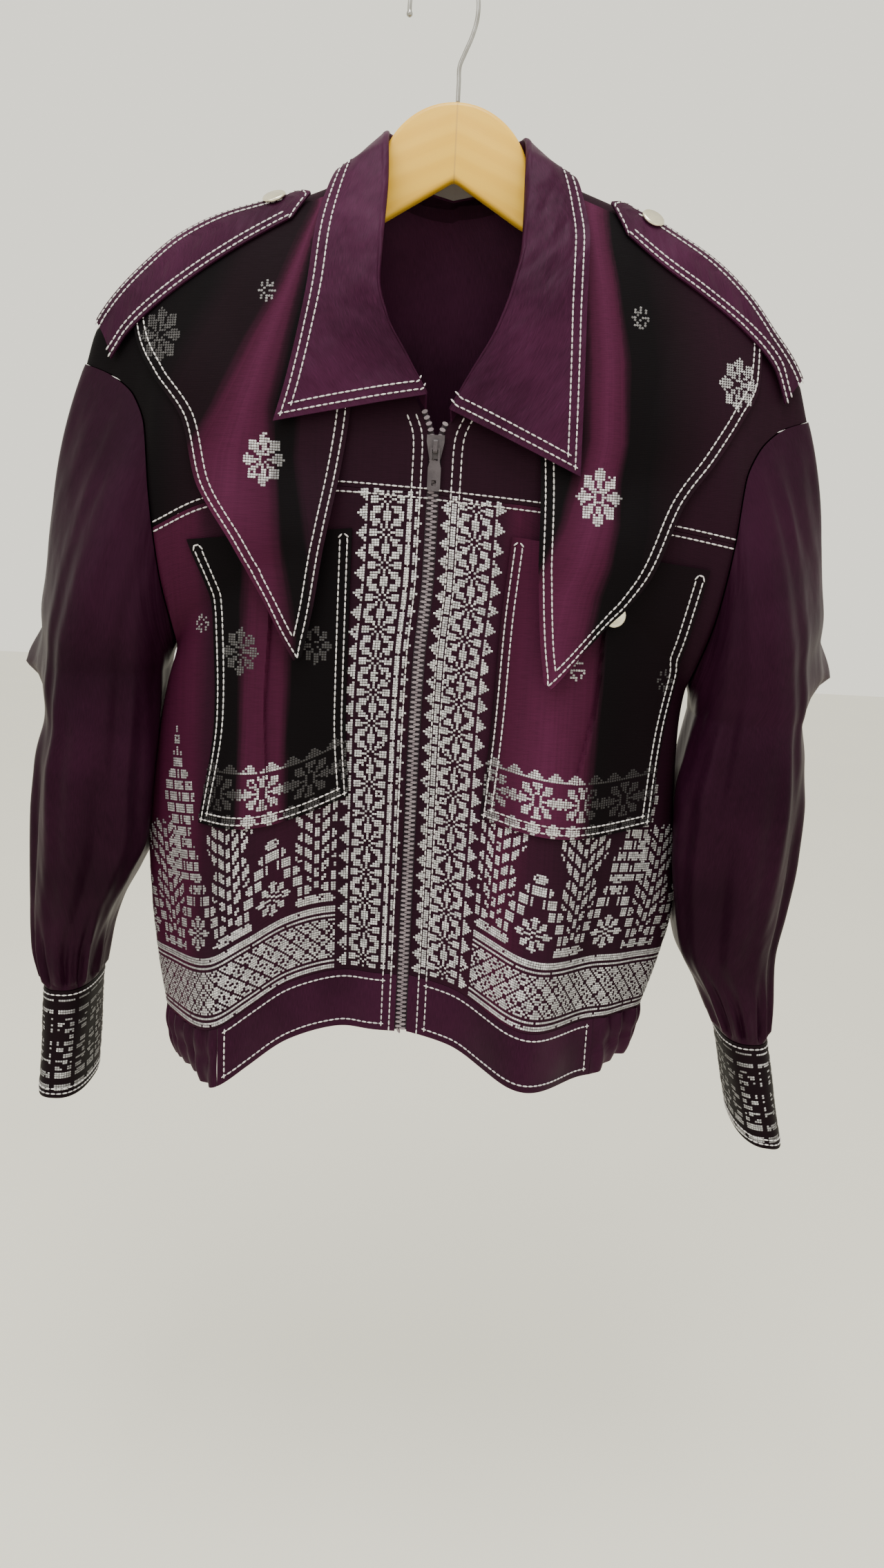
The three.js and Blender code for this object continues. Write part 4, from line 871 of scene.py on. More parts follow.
def float_tree():
    """One float of silver thread at each point, lying along the weft."""
    tree, b, w = new_tree("silver_floats", [
        ("Width", "Float", 0.0015), ("Thickness", "Float", 0.0003), ("Material", "Material", None)])
    bar = b.node("GeometryNodeMeshCylinder", {"fill_type": "NGON"}, {"Vertices": 3, "Radius": 2 / 3, "Depth": 1.0})
    ridge = b.node("GeometryNodeTransform", None, {
        "Geometry": bar, "Translation": (0, 0, 1 / 3), "Rotation": (0, -math.pi / 2, 0), "Scale": (1, 0.866, 1)})
    turn = facing(b, named(b, "weft", "FLOAT_VECTOR"), named(b, "out", "FLOAT_VECTOR"))
    placed = b.node("GeometryNodeInstanceOnPoints", None, {
        "Points": b.node("GeometryNodeMeshToPoints", None, {"Mesh": w["Geometry"]}), "Instance": ridge,
        "Rotation": turn,
        "Scale": size_vector(b, named(b, "run", "FLOAT"), w["Width"], w["Thickness"])})
    return close_tree(tree, b, placed, w["Material"])


def teeth_tree():
    """The zip's teeth along its middle line: each reaches over from the other side in turn."""
    tree, b, w = new_tree("zip_teeth", [
        ("Pitch", "Float", 0.0021), ("Width", "Float", 0.0056), ("Reach", "Float", 0.0013),
        ("Height", "Float", 0.0017), ("Thickness", "Float", 0.0026), ("Both Sides", "Float", 1.0),
        ("Material", "Material", None)])
    curve = b.node("GeometryNodeMeshToCurve", None, {"Mesh": w["Geometry"]})
    run = b.node("GeometryNodeResampleCurve", {"mode": "LENGTH"}, {"Curve": curve, "Length": w["Pitch"]})
    tooth = b.node("GeometryNodeMeshCylinder", None, {"Vertices": 8, "Radius": 0.54, "Depth": 1.0})
    square = b.node("GeometryNodeTransform", None, {"Geometry": tooth, "Rotation": (0, 0, math.pi / 8)})
    tangent = b.node("GeometryNodeInputTangent")
    out = named(b, "out", "FLOAT_VECTOR")
    number = b.node("GeometryNodeInputIndex")
    swing = (number.maths("MODULO", number, 2.0) * 2.0 - 1.0) * w["Reach"] * w["Both Sides"]
    side = b.node("ShaderNodeVectorMath", {"operation": "CROSS_PRODUCT"}, {0: tangent, 1: out})
    step = b.node("ShaderNodeVectorMath", {"operation": "SCALE"}, {0: side, "Scale": swing})
    moved = b.node("GeometryNodeSetPosition", None, {"Geometry": run, "Offset": step})
    placed = b.node("GeometryNodeInstanceOnPoints", None, {
        "Points": moved, "Instance": square, "Rotation": facing(b, tangent, out),
        "Scale": size_vector(b, w["Height"], w["Width"], w["Thickness"])})
    return close_tree(tree, b, placed, w["Material"])


def give(mesh, title, values):
    """An attribute of the mesh's points: a vector or a number each."""
    kind, field = ("FLOAT_VECTOR", "vector") if values.ndim == 2 else ("FLOAT", "value")
    mesh.attributes.new(title, kind, "POINT").data.foreach_set(field, values.astype(np.float32).ravel())


def solved(source):
    """The mesh that an object's modifiers make of it; the object itself goes."""
    graph = bpy.context.evaluated_depsgraph_get()
    mesh = bpy.data.meshes.new_from_object(source.evaluated_get(graph))
    bpy.data.objects.remove(source)
    return mesh


def line_object(name, paths):
    """Runs of points with the way out of the cloth at each, as the edges of one mesh."""
    mesh = bpy.data.meshes.new(name)
    verts = np.concatenate([home(p) for p, _ in paths])
    outs = np.concatenate([o for _, o in paths])
    edges, first = [], 0
    for p, _ in paths:
        edges += [(first + i, first + i + 1) for i in range(len(p) - 1)]
        first += len(p)
    mesh.from_pydata(verts.tolist(), edges, [])
    give(mesh, "out", outs)
    return link(name, mesh)


def repeat(name, source, tree, slot, **values):
    """The tree's result as a plain mesh that rides on the jacket."""
    modifier = source.modifiers.new("repeat", "NODES")
    modifier.node_group = tree
    for item in tree.interface.items_tree:
        if item.in_out == "INPUT" and item.name.replace(" ", "_").lower() in values:
            modifier[item.identifier] = values[item.name.replace(" ", "_").lower()]
    mesh = solved(source)
    mesh.name = name
    piece = link(name, mesh)
    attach(piece, "jacket")


def grown(name, build):
    """A node tree, built once."""
    return bpy.data.node_groups.get(name) or build()


def stitch(name, paths, pitch=None):
    """Topstitching along paths on the cloth."""
    settings = bpy.context.scene.jacket_sizes
    source = line_object(name + "_line", [p for p in paths if len(p[0]) > 1])
    repeat(name, source, grown("stitches", stitch_tree), "stitch_thread",
           pitch=pitch or settings.stitch_pitch, length=settings.stitch_pitch * 0.98,
           thickness=settings.stitch_thickness, seed=7, material=paint("stitch_thread"))


def on_cloth(cloth, r, c, lift=0.35):
    """The points of a path over the cloth, just above it."""
    r, c = np.broadcast_arrays(np.asarray(r, float), np.asarray(c, float))
    out = unit(cloth.sample(cloth.out, r, c))
    return cloth.sample(cloth.p, r, c) + out * lift, out


def edge_path(cloth, side, inset, start=0.0, end=0.0, n=120):
    """A path along one edge of the cloth, an inset in from it; start and end are insets too."""
    if side in ("first column", "last column"):
        column = 0 if side == "first column" else cloth.cols - 1
        room = cloth.u[:, -1] > 2 * inset + 1
        last = np.flatnonzero(room).max()
        low = cloth.down(column, start) if start else 0
        high = min(cloth.down(column, -end) if end else cloth.rows - 1, last)
        r = np.linspace(low, high, n)
        return on_cloth(cloth, r, cloth.across(r, inset if side == "first column" else -inset))
    low = float(cloth.across(0 if side == "first row" else cloth.rows - 1, start)[0]) if start else 0
    high = float(cloth.across(0 if side == "first row" else cloth.rows - 1, -end)[0]) if end else cloth.cols - 1
    c = np.linspace(low, high, n)
    r = np.array([cloth.down(k, inset if side == "first row" else -inset) for k in c])
    return on_cloth(cloth, r, c)


# ---------- the songket's figures, in floats of thread ----------
def star(u, v, size, gap=0.85):
    """An eight-pointed star of eight parted petals, with a small dark eye."""
    x, y = np.abs(u) / size, np.abs(v) / size
    body = (np.maximum(x, y) < 0.7) | (x + y < 1.0)
    far, gap = np.hypot(x, y), min(gap, 0.1 * size) / size
    parted = (far > 0.2) & ((np.abs(y - 0.414 * x) < gap) | (np.abs(x - 0.414 * y) < gap))
    return body & ~parted & (far > 0.12)


def zip_column(i, j):
    """The upright border beside the zip: small points, a stem, flowers of large petals, and points again."""
    near = 3 - np.abs((j % 7) - 3)
    far = 4 - np.abs((j % 8) - 4)
    row = j % 13
    flower = star((i - 14) * CELL_WIDE, (row - 6) * CELL_HIGH, 14.0, 1.35) & (np.abs(i - 14) + np.abs(row - 6) > 1)
    between = np.minimum(i - 7.5, 20.5 - i) + np.minimum(row, 12 - row) * 1.2 < 2.4
    return (((i >= 0) & (i < 4) & (3 - i < near))
            | ((i >= 5) & (i < 7) & (j % 9 != 4))
            | ((i >= 8) & (i < 21) & (flower | between))
            | ((i >= 22) & (i - 22 < far)))


def lattice(i, j):
    """A band of diamonds parted by dark lines, every other one with a dark eye."""
    a, b = (i + j) % 7, (i - j) % 7
    eye = (np.abs(a - 3.5) < 1) & (np.abs(b - 3.5) < 1) & (((i + j) // 7) % 2 == 0)
    return (a > 0) & (b > 0) & ~eye


def points_and_trees(i, j):
    """Stepped triangles along a hem, each with a flower, and leafy trees that hang between them."""
    a = np.abs(i % 38 - 18.5)
    step = 19 * (1 - (j // 5) * 5 / 34)
    edge = np.array([0, 1, 1, 0, -9])[j % 5]
    shell = (a < step + edge) & (a > step - 5.5) & (j < 34) & (a % 5 != 3.5)
    heart = star(a * CELL_WIDE, (j - 8) * CELL_HIGH, 15, 1.2) & (a < step - 6.5)
    foot = (np.abs(i % 6 - 2.5) + np.abs(j - 1) < 3.1) & (a > step - 9) & (j < 4)
    b = 18.5 - a
    reach = np.interp(j, [6, 14, 24, 30, 34, 44, 50, 56], [1, 5, 10, 8, 6, 12, 11, 3])
    leaf = ((j - np.round(b * 0.9).astype(int)) % 6 < 4) & (np.round(b).astype(int) % 4 != 1)
    tree = (b < reach) & (a > step + 2) & leaf & (j > 6) & (j < 56)
    return shell | heart | foot | tree


def tower(i, j, middle):
    """A tall tree with a drawn-out tip, in tiers; j is up from the triangles' foot."""
    b = np.abs(i - middle)
    reach = np.interp(j, [30, 40, 48, 52, 60, 68, 76, 82, 88, 98], [9, 10, 6, 5, 9, 9, 6, 3, 1.6, 0.5])
    tier = (j % 5 < 4) & ((b + (j // 5) % 2 * 2).astype(int) % 5 != 3)
    return (b < reach) & tier & (j > 30) & (j < 98)


def hem_band(i, j, v):
    border = ((v > 2) & (v < 5.7)) | ((v > 7) & (v < 9.8)) | ((v > 46) & (v < 49)) | ((v > 50.5) & (v < 56))
    return border | ((v > 11) & (v < 44.8) & lattice(i, j))


def front_figure(side):
    middle = 100 if side == "left" else 97

    def figure(i, j, u, v):
        low = points_and_trees(i + 3, j - 32) & (v > 59)
        return ((v > 3) & zip_column(i, j) & (u < 51)) | ((u > 53) & (
            hem_band(i, j, v) | low | tower(i, j - 32, middle)))

    return figure


def back_figure(i, j, u, v):
    stars = np.zeros(u.shape, bool)
    for row in range(4):
        for column in range(-3, 3):
            at = (column + (0.5 if row % 2 else 0.0) + 0.25) * 76
            stars |= star(u - at, v - 222 - row * 74, 13)
    return hem_band(i, j, v) | (points_and_trees(i, j - 32) & (v > 59)) | stars


def pocket_figure(i, j, u, v):
    """v is up from the pocket's foot."""
    points = (np.abs(i % 8 - 3.5) < (27 - j) * 1.1) & (j > 22) & (j < 27)
    flower = star((i % 18 - 8.5) * CELL_WIDE, (j - 14) * CELL_HIGH, 17.5, 1.3) & (j > 6) & (j < 22)
    filler = np.abs((i + 9) % 18 - 8.5) + np.abs(j - 14) * 0.7 < 2.4
    foot = (np.abs(i % 8 - 3.5) + np.abs(j - 2.5) * 1.2 < 3.9) & (j < 6)
    return points | flower | filler | foot


def cuff_figure(i, j, u, v):
    """v is down from the cuff's top."""
    rail = ((v > 7) & (v < 9)) | ((v > 17) & (v < 21)) | ((v > 73) & (v < 77)) | ((v > 84) & (v < 89))
    leaf = star(((i // 2) % 11 - 5) * CELL_WIDE, ((j // 2) % 11 - 5) * CELL_WIDE, 11.5)
    return (i % 9 < 7) & (rail | ((v > 24) & (v < 70) & (j % 3 < 2) & leaf))


def weave(name, cloth, figure, u_from, u_to, v_from, v_to, cu=None, cv=None, shade=None, lift=0.12):
    """Floats of silver thread wherever the figure has one, lying on the cloth."""
    i, j = np.meshgrid(np.arange(int(u_from // CELL_WIDE), int(u_to // CELL_WIDE) + 1),
                       np.arange(int(v_from // CELL_HIGH), int(v_to // CELL_HIGH) + 1))
    i, j = i.ravel(), j.ravel()
    u, v = (i + 0.5) * CELL_WIDE, (j + 0.5) * CELL_HIGH
    keep = figure(i, j, u, v) & (noise(i, j) > 0.025)
    i, j, u, v = i[keep], j[keep], u[keep], v[keep]
    r, c, near = cloth.locate(u, v, cu, cv)
    r, c, i, j, u, v = r[near], c[near], i[near], j[near], u[near], v[near]
    out = unit(cloth.sample(cloth.out, r, c))
    place = cloth.sample(cloth.p, r, c) + out * lift
    weft = unit(cloth.sample(np.gradient(cloth.p, axis=1), r, c))
    weft = unit(weft + np.cross(out, weft) * (noise(i, j, 3)[:, None] - 0.5) * 0.12)
    mesh = bpy.data.meshes.new(name)
    mesh.from_pydata(home(place).tolist(), [], [])
    run = (CELL_WIDE * 0.82 * (0.92 + 0.16 * noise(i, j, 1))) * 0.001
    tone = np.ones(len(u)) if shade is None else shade(place)
    tone = np.clip(tone + 0.12 * (noise(i, j, 2) - 0.6), 0, 1)
    for title, values in (("out", out), ("weft", weft), ("run", run), ("shade", tone)):
        give(mesh, title, values)
    source = link(name + "_points", mesh)
    repeat(name, source, grown("silver_floats", float_tree), "silver_thread",
           width=CELL_HIGH * 0.78 * 0.001, thickness=0.0003, material=paint("silver_thread"))


def scatter(name, cloth, marks, shade):
    """Stars at places seen from the front: distance from the centre, drop below the hook, and size."""
    shown = shown_places(cloth)

    def figure(i, j, u, v):
        found = np.zeros(u.shape, bool)
        for x, z, size in marks:
            found |= star(u - x, (v - z) * STAR_SQUASH, size)
        return found

    weave(name, cloth, figure, 60, 250, 180, 530, shown[..., 0], shown[..., 1], shade)


def front_places(cloth):
    """Places for painting: how far from the centre plane, and how far along the cloth from its first row."""
    return np.stack([np.abs(cloth.p[..., 0]), cloth.v], -1)


def flap_places(cloth, side):
    """Where the flap's cloth lies in its own stripes, which a fold slants across it."""
    places = shown_places(cloth)
    z, *marks = np.array(FOLD_OVER[side], float).T
    at = [np.interp(places[..., 1], -z, mark) for mark in marks]
    x, low, middle, high = places[..., 0], *at
    own = np.where(x < low, 100 + (x - low), np.where(
        x < middle, 100 + 15 * (x - low) / (middle - low), np.where(
            x < high, 115 + 45 * (x - middle) / (high - middle), 160 + (x - high))))
    return np.stack([own, places[..., 1]], -1)


def shown_places(cloth):
    """Places for painting as seen from the front: how far from the centre plane, and from the hook's top."""
    return np.stack([np.abs(cloth.p[..., 0]), -cloth.p[..., 2]], -1)


# ---------- the pieces' surfaces ----------
GRIDS = {  # rows and columns that each surface is worked out with
    "front": (140, 80), "yoke": (80, 62), "flap": (110, 66), "pocket": (76, 121), "epaulette": (18, 90),
    "cuff": (31, 121), "band": (20, 70),
}
BACK_COLUMNS, BACK_LOW, BACK_HIGH = 66, 64, 71  # each half's columns, and the rows below and above the armhole's foot
SLEEVE_HEAD, SLEEVE_ARM, SLEEVE_ROUND = 44, 86, 145
SURFACES = {}


def kept(name, make):
    """A surface, worked out once, since other pieces are sewn to it."""
    if name not in SURFACES:
        SURFACES[name] = make()
    return SURFACES[name]


def crowded(t):
    """Steps from 0 to 1 that lie closer together towards 1, where the shoulder turns."""
    return 1 - (1 - t) ** 1.6


def chest_seam(side):
    return smooth(CHEST_SEAM["x" + side], CHEST_SEAM["z" + side])


def corners(shape):
    """The inner and outer edge of a flap or pocket, each as x and z along its steps."""
    return {k: smooth(shape["step"], shape[k]) for k in ("xin", "zin", "xout", "zout")}


def front_surface(side):
    def make():
        half, (rows, columns) = FRONT[side], GRIDS["front"]
        u = spread(columns)
        top = half.crossing(u, chest_seam(side)) - HALF_SEAM
        t = np.linspace(0, 1, rows)[:, None]
        return Cloth(half.point(u[None], t * top[None]), (0, -1, 0))
    return kept("front_" + side, make)


def yoke_surface(side):
    def make():
        half, (rows, columns) = FRONT[side], GRIDS["yoke"]
        u = spread(columns)
        low = half.crossing(u, chest_seam(side)) + HALF_SEAM
        t = crowded(np.linspace(0, 1, rows))[:, None]
        return Cloth(half.point(u[None], lerp(low[None], 1, t)), (0, -1, 0))
    return kept("yoke_" + side, make)


def back_surface():
    def make():
        u = spread(BACK_COLUMNS)
        grid = []
        for side in SIDES:
            half = BACK[side]
            v = np.concatenate([np.linspace(0, half.under, BACK_LOW),
                                half.under + (1 - half.under) * crowded(np.linspace(0, 1, BACK_HIGH)[1:])])
            grid.append(half.point(u[None], v[:, None]))
        return Cloth(np.concatenate([grid[0][:, ::-1], grid[1][:, 1:]], 1), (0, 1, 0))
    return kept("back", make)


def armhole(side, angle):
    """The sleeve seam: 0 at the shoulder, 180 at the underarm, then up the back."""
    front, back = FRONT[side], BACK[side]
    seam = float(front.crossing(np.array([1.0]), chest_seam(side))[0])
    yoke = lerp(seam, 1, crowded(np.linspace(0, 1, 9)))
    low = seam * np.linspace(front.under / seam, 1, 6)[:-1]
    down = np.concatenate([yoke[::-1], low[::-1]])
    up = lerp(back.under, 1, crowded(np.linspace(0, 1, 9)))
    angle = np.asarray(angle, float)
    v = np.where(angle <= 180, np.interp(angle, np.linspace(0, 180, len(down)), down),
                 np.interp(angle, np.linspace(180, 360, len(up)), up))
    on_front, on_back = front.point(1.0, v), back.point(1.0, v)
    return np.where((angle <= 180)[..., None], on_front, on_back)


def sleeve_surface(side):
    def make():
        front, sign = FRONT[side], SIGN[side]
        shape, (elbow_z, up, down_, elbow_out, elbow_angle) = SLEEVE[side], ELBOW[side]
        outer, inner = smooth(shape["z"], shape["outer"]), smooth(shape["z"], shape["inner"])
        depth = smooth(shape["z"], shape["depth"])
        high, low = shape["z"][0], shape["z"][-1]
        angle = np.linspace(0, 360, SLEEVE_ROUND)
        a = np.radians(angle)[None]
        cos, sin = np.cos(a), np.sin(a)

        def body_x(y, z):
            v = front.rise(1, z)
            d = np.abs(np.where(y > 0, BACK[side].y(0.0, v), front.y(0.0, v)))
            return front.edge(z) * np.maximum(0, 1 - np.clip(np.abs(y) / d, 0, 0.999) ** SIDE_POWER) ** (1 / SIDE_POWER)

        def section(z):
            far = (high - z) / (high - low)
            whole = np.sin(math.pi * np.clip(far * 0.9 + 0.1, 0, 1))
            soft = 4.5 * np.sin(5 * a + 1) * whole
            crisp = (1.7 * np.sin(11 * a + 2.2 * np.sin(far * 3.1) + 0.6)
                     + 1.1 * np.sin(17 * a - far * 5 + 1.9)) * np.sin(math.pi * np.clip(far * 0.8 + 0.2, 0, 1))
            tuck = ease((far - 0.72) / 0.22) * (1 - ease((far - 0.975) / 0.025))
            gather = 2.4 * tuck * (np.sin(13 * a + 0.7) + 0.5 * np.sin(23 * a + 2))
            middle, wide = (outer(z) + inner(z)) / 2, (outer(z) - inner(z)) / 2 + soft * 0.5 + crisp * 0.6 + gather
            deep = depth(z) + soft + crisp + gather
            x = middle + wide * np.sign(cos) * np.abs(cos) ** 0.8
            y = -deep * np.sign(sin) * np.abs(sin) ** 0.8
            x = np.where(z < high + 30, np.maximum(x, body_x(y, z) + 4), x)
            return points(sign * x, y, z)

        def creased(p, spread_=24):
            turn = (angle - elbow_angle + 540) % 360 - 180
            z = p[..., 2]
            rise = np.where(z > elbow_z, 1 - (z - elbow_z) / up, 1 - (elbow_z - z) / down_)
            out = elbow_out * np.clip(rise, 0, 1) ** 1.2 * bell(turn / spread_)[None]
            near = bell((z - elbow_z + 6) / 62) * bell(turn / 75)[None]
            ripple = 2.6 * near * np.sin((z - elbow_z) / 8.5 + np.abs(turn)[None] / 21)
            q = p.copy()
            q[..., 0] += sign * (out * 0.9 + ripple * 0.7)
            q[..., 1] += out * 0.3 + ripple * 0.5 * np.sign(p[..., 1])
            return q

        t = np.linspace(0, 1, SLEEVE_HEAD)[:, None]
        start = armhole(side, angle)[None]
        shift = sign * (1 + 0.6 * np.maximum(0, cos))
        start = start + points(shift, 0 * shift, 0 * shift)
        target = section(np.full((1, 1), high))
        head = start * (1 - t)[..., None] + target * t[..., None]
        head[..., 0] += sign * 13 * np.sin(math.pi * t) ** 0.8 * (0.5 + 0.5 * cos)
        head[..., 1] -= 10 * sin * np.sin(math.pi * t)
        pleat = 1.5 * np.sin(19 * a + 0.4) * np.sin(math.pi * np.clip(t * 2.2, 0, 1)) * (cos > 0) * cos
        head[..., 0] += sign * pleat
        arm = section(np.linspace(high, low, SLEEVE_ARM)[1:, None])
        grid = creased(np.concatenate([head, arm]))
        below = SLEEVE_HEAD + 19  # a row of the arm, where the normals are compared with the way out
        return Cloth(grid, unit(grid[below, SLEEVE_ROUND // 2] - grid[below].mean(0)))
    return kept("sleeve_" + side, make)


def cuff_surface(side):
    def make():
        top_x, top_z, low_x, low_z, tilt = CUFF[side]
        rows, columns = GRIDS["cuff"]
        t, a = np.linspace(0, 1, rows)[:, None], np.radians(np.linspace(0, 360, columns))[None]
        cos, sin = np.cos(a), np.sin(a)
        press = 0.7 * np.sin(3 * a + t * 4) * np.sin(math.pi * t)
        x = (20 + press) * np.sign(cos) * np.abs(cos) ** (2 / 2.6) + lerp(top_x, low_x, t)
        y = -(42 + press) * np.sign(sin) * np.abs(sin) ** (2 / 2.6)
        z = lerp(top_z - 0.6, low_z, t) - cos * 20 * math.sin(math.radians(tilt)) * t
        grid = points(SIGN[side] * x, y, z)
        return Cloth(grid, unit(grid[rows // 2, columns // 2] - grid[rows // 2].mean(0)))
    return kept("cuff_" + side, make)


def flap_surface(side):
    def make():
        half, shape = FRONT[side], FLAP[side]
        edge = corners(shape)
        rows, columns = GRIDS["flap"]
        step, w = np.linspace(0, 1, rows)[:, None], spread(columns)[None]
        x = lerp(edge["xin"](step), edge["xout"](step), w)
        top_x = lerp(edge["xin"](0), edge["xout"](0), w)
        bow = half.ridge(top_x) - 12 - lerp(edge["zin"](0), edge["zout"](0), w)
        z = lerp(edge["zin"](step), edge["zout"](step), w) + bow * (1 - step) ** 3
        free = ease((-350 - z) / 70)
        soft = np.maximum(0, 3 * np.sin(w * 9 + 1) * ease(step * 3) * (1 - step))
        rim = np.minimum(w, 1 - w)
        curl = 0.7 * np.sin(step * 23 + w * 3) * bell(rim / 0.08) * ease(step * 4)
        lift = lerp(FLAP_LIFT, FLAP_FREE, free) + soft - 1.2 * (1 - step) ** 6 + curl
        return Cloth(half.lifted(*half.find(x, z), lift), (0, -1, 0))
    return kept("flap_" + side, make)


def pocket_surface(side):
    def make():
        half, shape, (pleat_top, pleat_low) = FRONT[side], POCKET[side], PLEAT[side]
        edge = corners(shape)
        step, w = (np.linspace(0, 1, n) for n in GRIDS["pocket"])
        step, w = step[:, None], w[None]
        sway = 0.028 * np.sin(step * 7.5 + (0.4 if side == "left" else 1.0)) * np.sin(math.pi * step)
        middle = lerp(pleat_top, pleat_low, step) + sway
        opened = np.sin(math.pi * np.clip(step * 0.9 + 0.1, 0, 1)) ** 0.7
        over = np.where(w < middle, np.exp(-(middle - w) / 0.11), 0) * (1 - bell((w - middle) / 0.006) * 0.4)
        under = -0.55 * np.where(w >= middle, np.exp(-(w - middle) / 0.05), 0)
        x = lerp(edge["xout"](step), edge["xin"](step), w)
        sag = 9 * np.sin(math.pi * w) * step ** 2
        z = lerp(edge["zout"](step), edge["zin"](step), w) - sag
        gape = 2 * bell((z + 482) / 36) * (1 - w) ** 2
        lift = POCKET_LIFT[side] + PLEAT_LIFT * opened * (over + under * 0.5) + gape
        return Cloth(half.lifted(*half.find(x, z), lift), (0, -1, 0))
    return kept("pocket_" + side, make)


def epaulette_surface(side):
    def make():
        half, (neck, sleeve) = FRONT[side], EPAULETTE_ENDS[side]
        low = smooth(EPAULETTE["x" + side], EPAULETTE["z" + side])
        w, t = (np.linspace(0, 1, n) for n in GRIDS["epaulette"])
        w, t = w[:, None], t[None]
        pointed = 12 * np.abs(w - 0.5) * 2 * (1 - ease(t * 9))
        x = lerp(neck + pointed, sleeve, t)
        u = np.clip((x - NECK_X) / (half.tip - NECK_X), 0, 0.985)
        x_low = lerp(neck + pointed, sleeve - 16, t)
        u_low, v_low = half.find(x_low, low(x_low))
        across = w ** 1.6
        crown = 0.8 * np.sin(math.pi * w)
        grid = half.lifted(lerp(u, u_low, across), lerp(0.998, v_low, across), EPAULETTE_LIFT + crown)
        return Cloth(grid, (0, -1, 0.5))
    return kept("epaulette_" + side, make)


def collar_surface():
    def make():
        halves = []
        for side in SIDES:
            sign, shape = SIGN[side], COLLAR[side]
            step = np.linspace(0, 1, 90)
            at = {k: smooth(shape["step"], shape[k])(step) for k in COLLAR_NAMES.split()[1:]}
            seam, roll, edge = (points(sign * at["x" + k], at["y" + k], at["z" + k]) for k in ("seam", "roll", "edge"))
            turn = np.radians(at["turn"])
            out = points(sign * np.sin(turn), -np.cos(turn), 0 * turn)
            up = unit(roll - seam)
            base = roll - up * COLLAR_ROLL
            rows = [lerp(seam, base, k) for k in np.linspace(0, 1, 9)[:-1]]
            for d in np.linspace(0, math.pi, 11):
                rows.append(base + up * COLLAR_ROLL * math.sin(d) + out * COLLAR_ROLL * (1 - math.cos(d)))
            heel = rows[-1]
            for k in np.linspace(0, 1, 40)[1:]:
                drape = 0.7 * np.sin(k * 7 + step * 17) + 0.5 * np.sin(step * 41 + k * 3)
                lift = 2.5 * math.sin(math.pi * k) + drape * math.sin(math.pi * min(1, k * 1.4)) * 0.8
                rows.append(lerp(heel, edge, k) + out * np.asarray(lift)[..., None])
            halves.append(np.stack(rows, 1))
        grid = np.concatenate([halves[0], halves[1][::-1][1:]])
        return Cloth(grid, (0, 1, 0.2))
    return kept("collar", make)


def band_surface(side):
    def make():
        half = FRONT[side]
        rows, columns = GRIDS["band"]
        u = np.linspace(0, spread_at(FRONT_BAND_END[side]), columns)
        t = np.linspace(0, 1, rows)[:, None]
        grid = half.point(u[None], 0.0 * t)
        grid[..., 2] -= SEAM + t * (BAND_HEIGHT - SEAM)
        grid[..., 1] -= 1.1 * np.sin(math.pi * t) + 0.5 * np.sin(u[None] * 40 + t * 3) * np.sin(math.pi * t)
        return Cloth(grid, (0, -1, 0))
    return kept("band_" + side, make)


def elastic_surface():
    def make():
        runs = []
        for side in SIDES:
            u = np.linspace(spread_at(FRONT_BAND_END[side]) + 0.002, 0.985, 60)
            front = FRONT[side].point(u, 0.0)
            back = BACK[side].point(np.sin(np.linspace(math.pi / 2, 0, 120)), 0.0)
            run = np.concatenate([front, back[1:]])
            runs.append(run if side == "left" else run[::-1][1:])
        path = np.concatenate(runs)
        length = lengths_along(path)
        n = int(length[-1] / 1.15)
        s = np.linspace(0, length[-1], n)
        p = np.stack([np.interp(s, length, path[:, k]) for k in range(3)], 1)
        ahead = unit(np.gradient(p, axis=0) * (1, 1, 0))
        inward = np.stack([ahead[:, 1], -ahead[:, 0], 0 * s], 1)
        centre = p.mean(0)
        inward *= np.sign(np.einsum("ij,ij->i", inward, (centre - p) * (1, 1, 0)))[:, None]
        end = np.clip(np.minimum(s, length[-1] - s) / 12, 0, 1)
        pitch = 9 + 2.6 * np.sin(s / 23) + 1.5 * np.sin(s / 9.1 + 1)
        wave = np.sin(np.cumsum(s[1] / pitch) * math.pi)
        apart, far = 0.8 + 0.2 * np.sin(s / 17), ease(np.minimum(s, length[-1] - s) / 45)
        rows = []
        for t in np.linspace(0, 1, 20):
            puff = 0.3 + 0.7 * abs(math.sin(math.tau * t))
            deep = end * apart * 2.5 * (1 - wave * (1.25 - 0.3 * puff)) - puff * 2.2 * end
            deep = deep + far * 8 * t ** 2 + 0.6 * np.sin(s / 2.1 + t * 5) * math.sin(math.pi * t)
            q = p + inward * deep[:, None]
            q[:, 2] -= SEAM + t * (BAND_HEIGHT - SEAM) * (1 - 0.1 * far)
            rows.append(q)
        grid = np.array(rows)
        return Cloth(grid, (0, 1, 0))
    return kept("elastic", make)


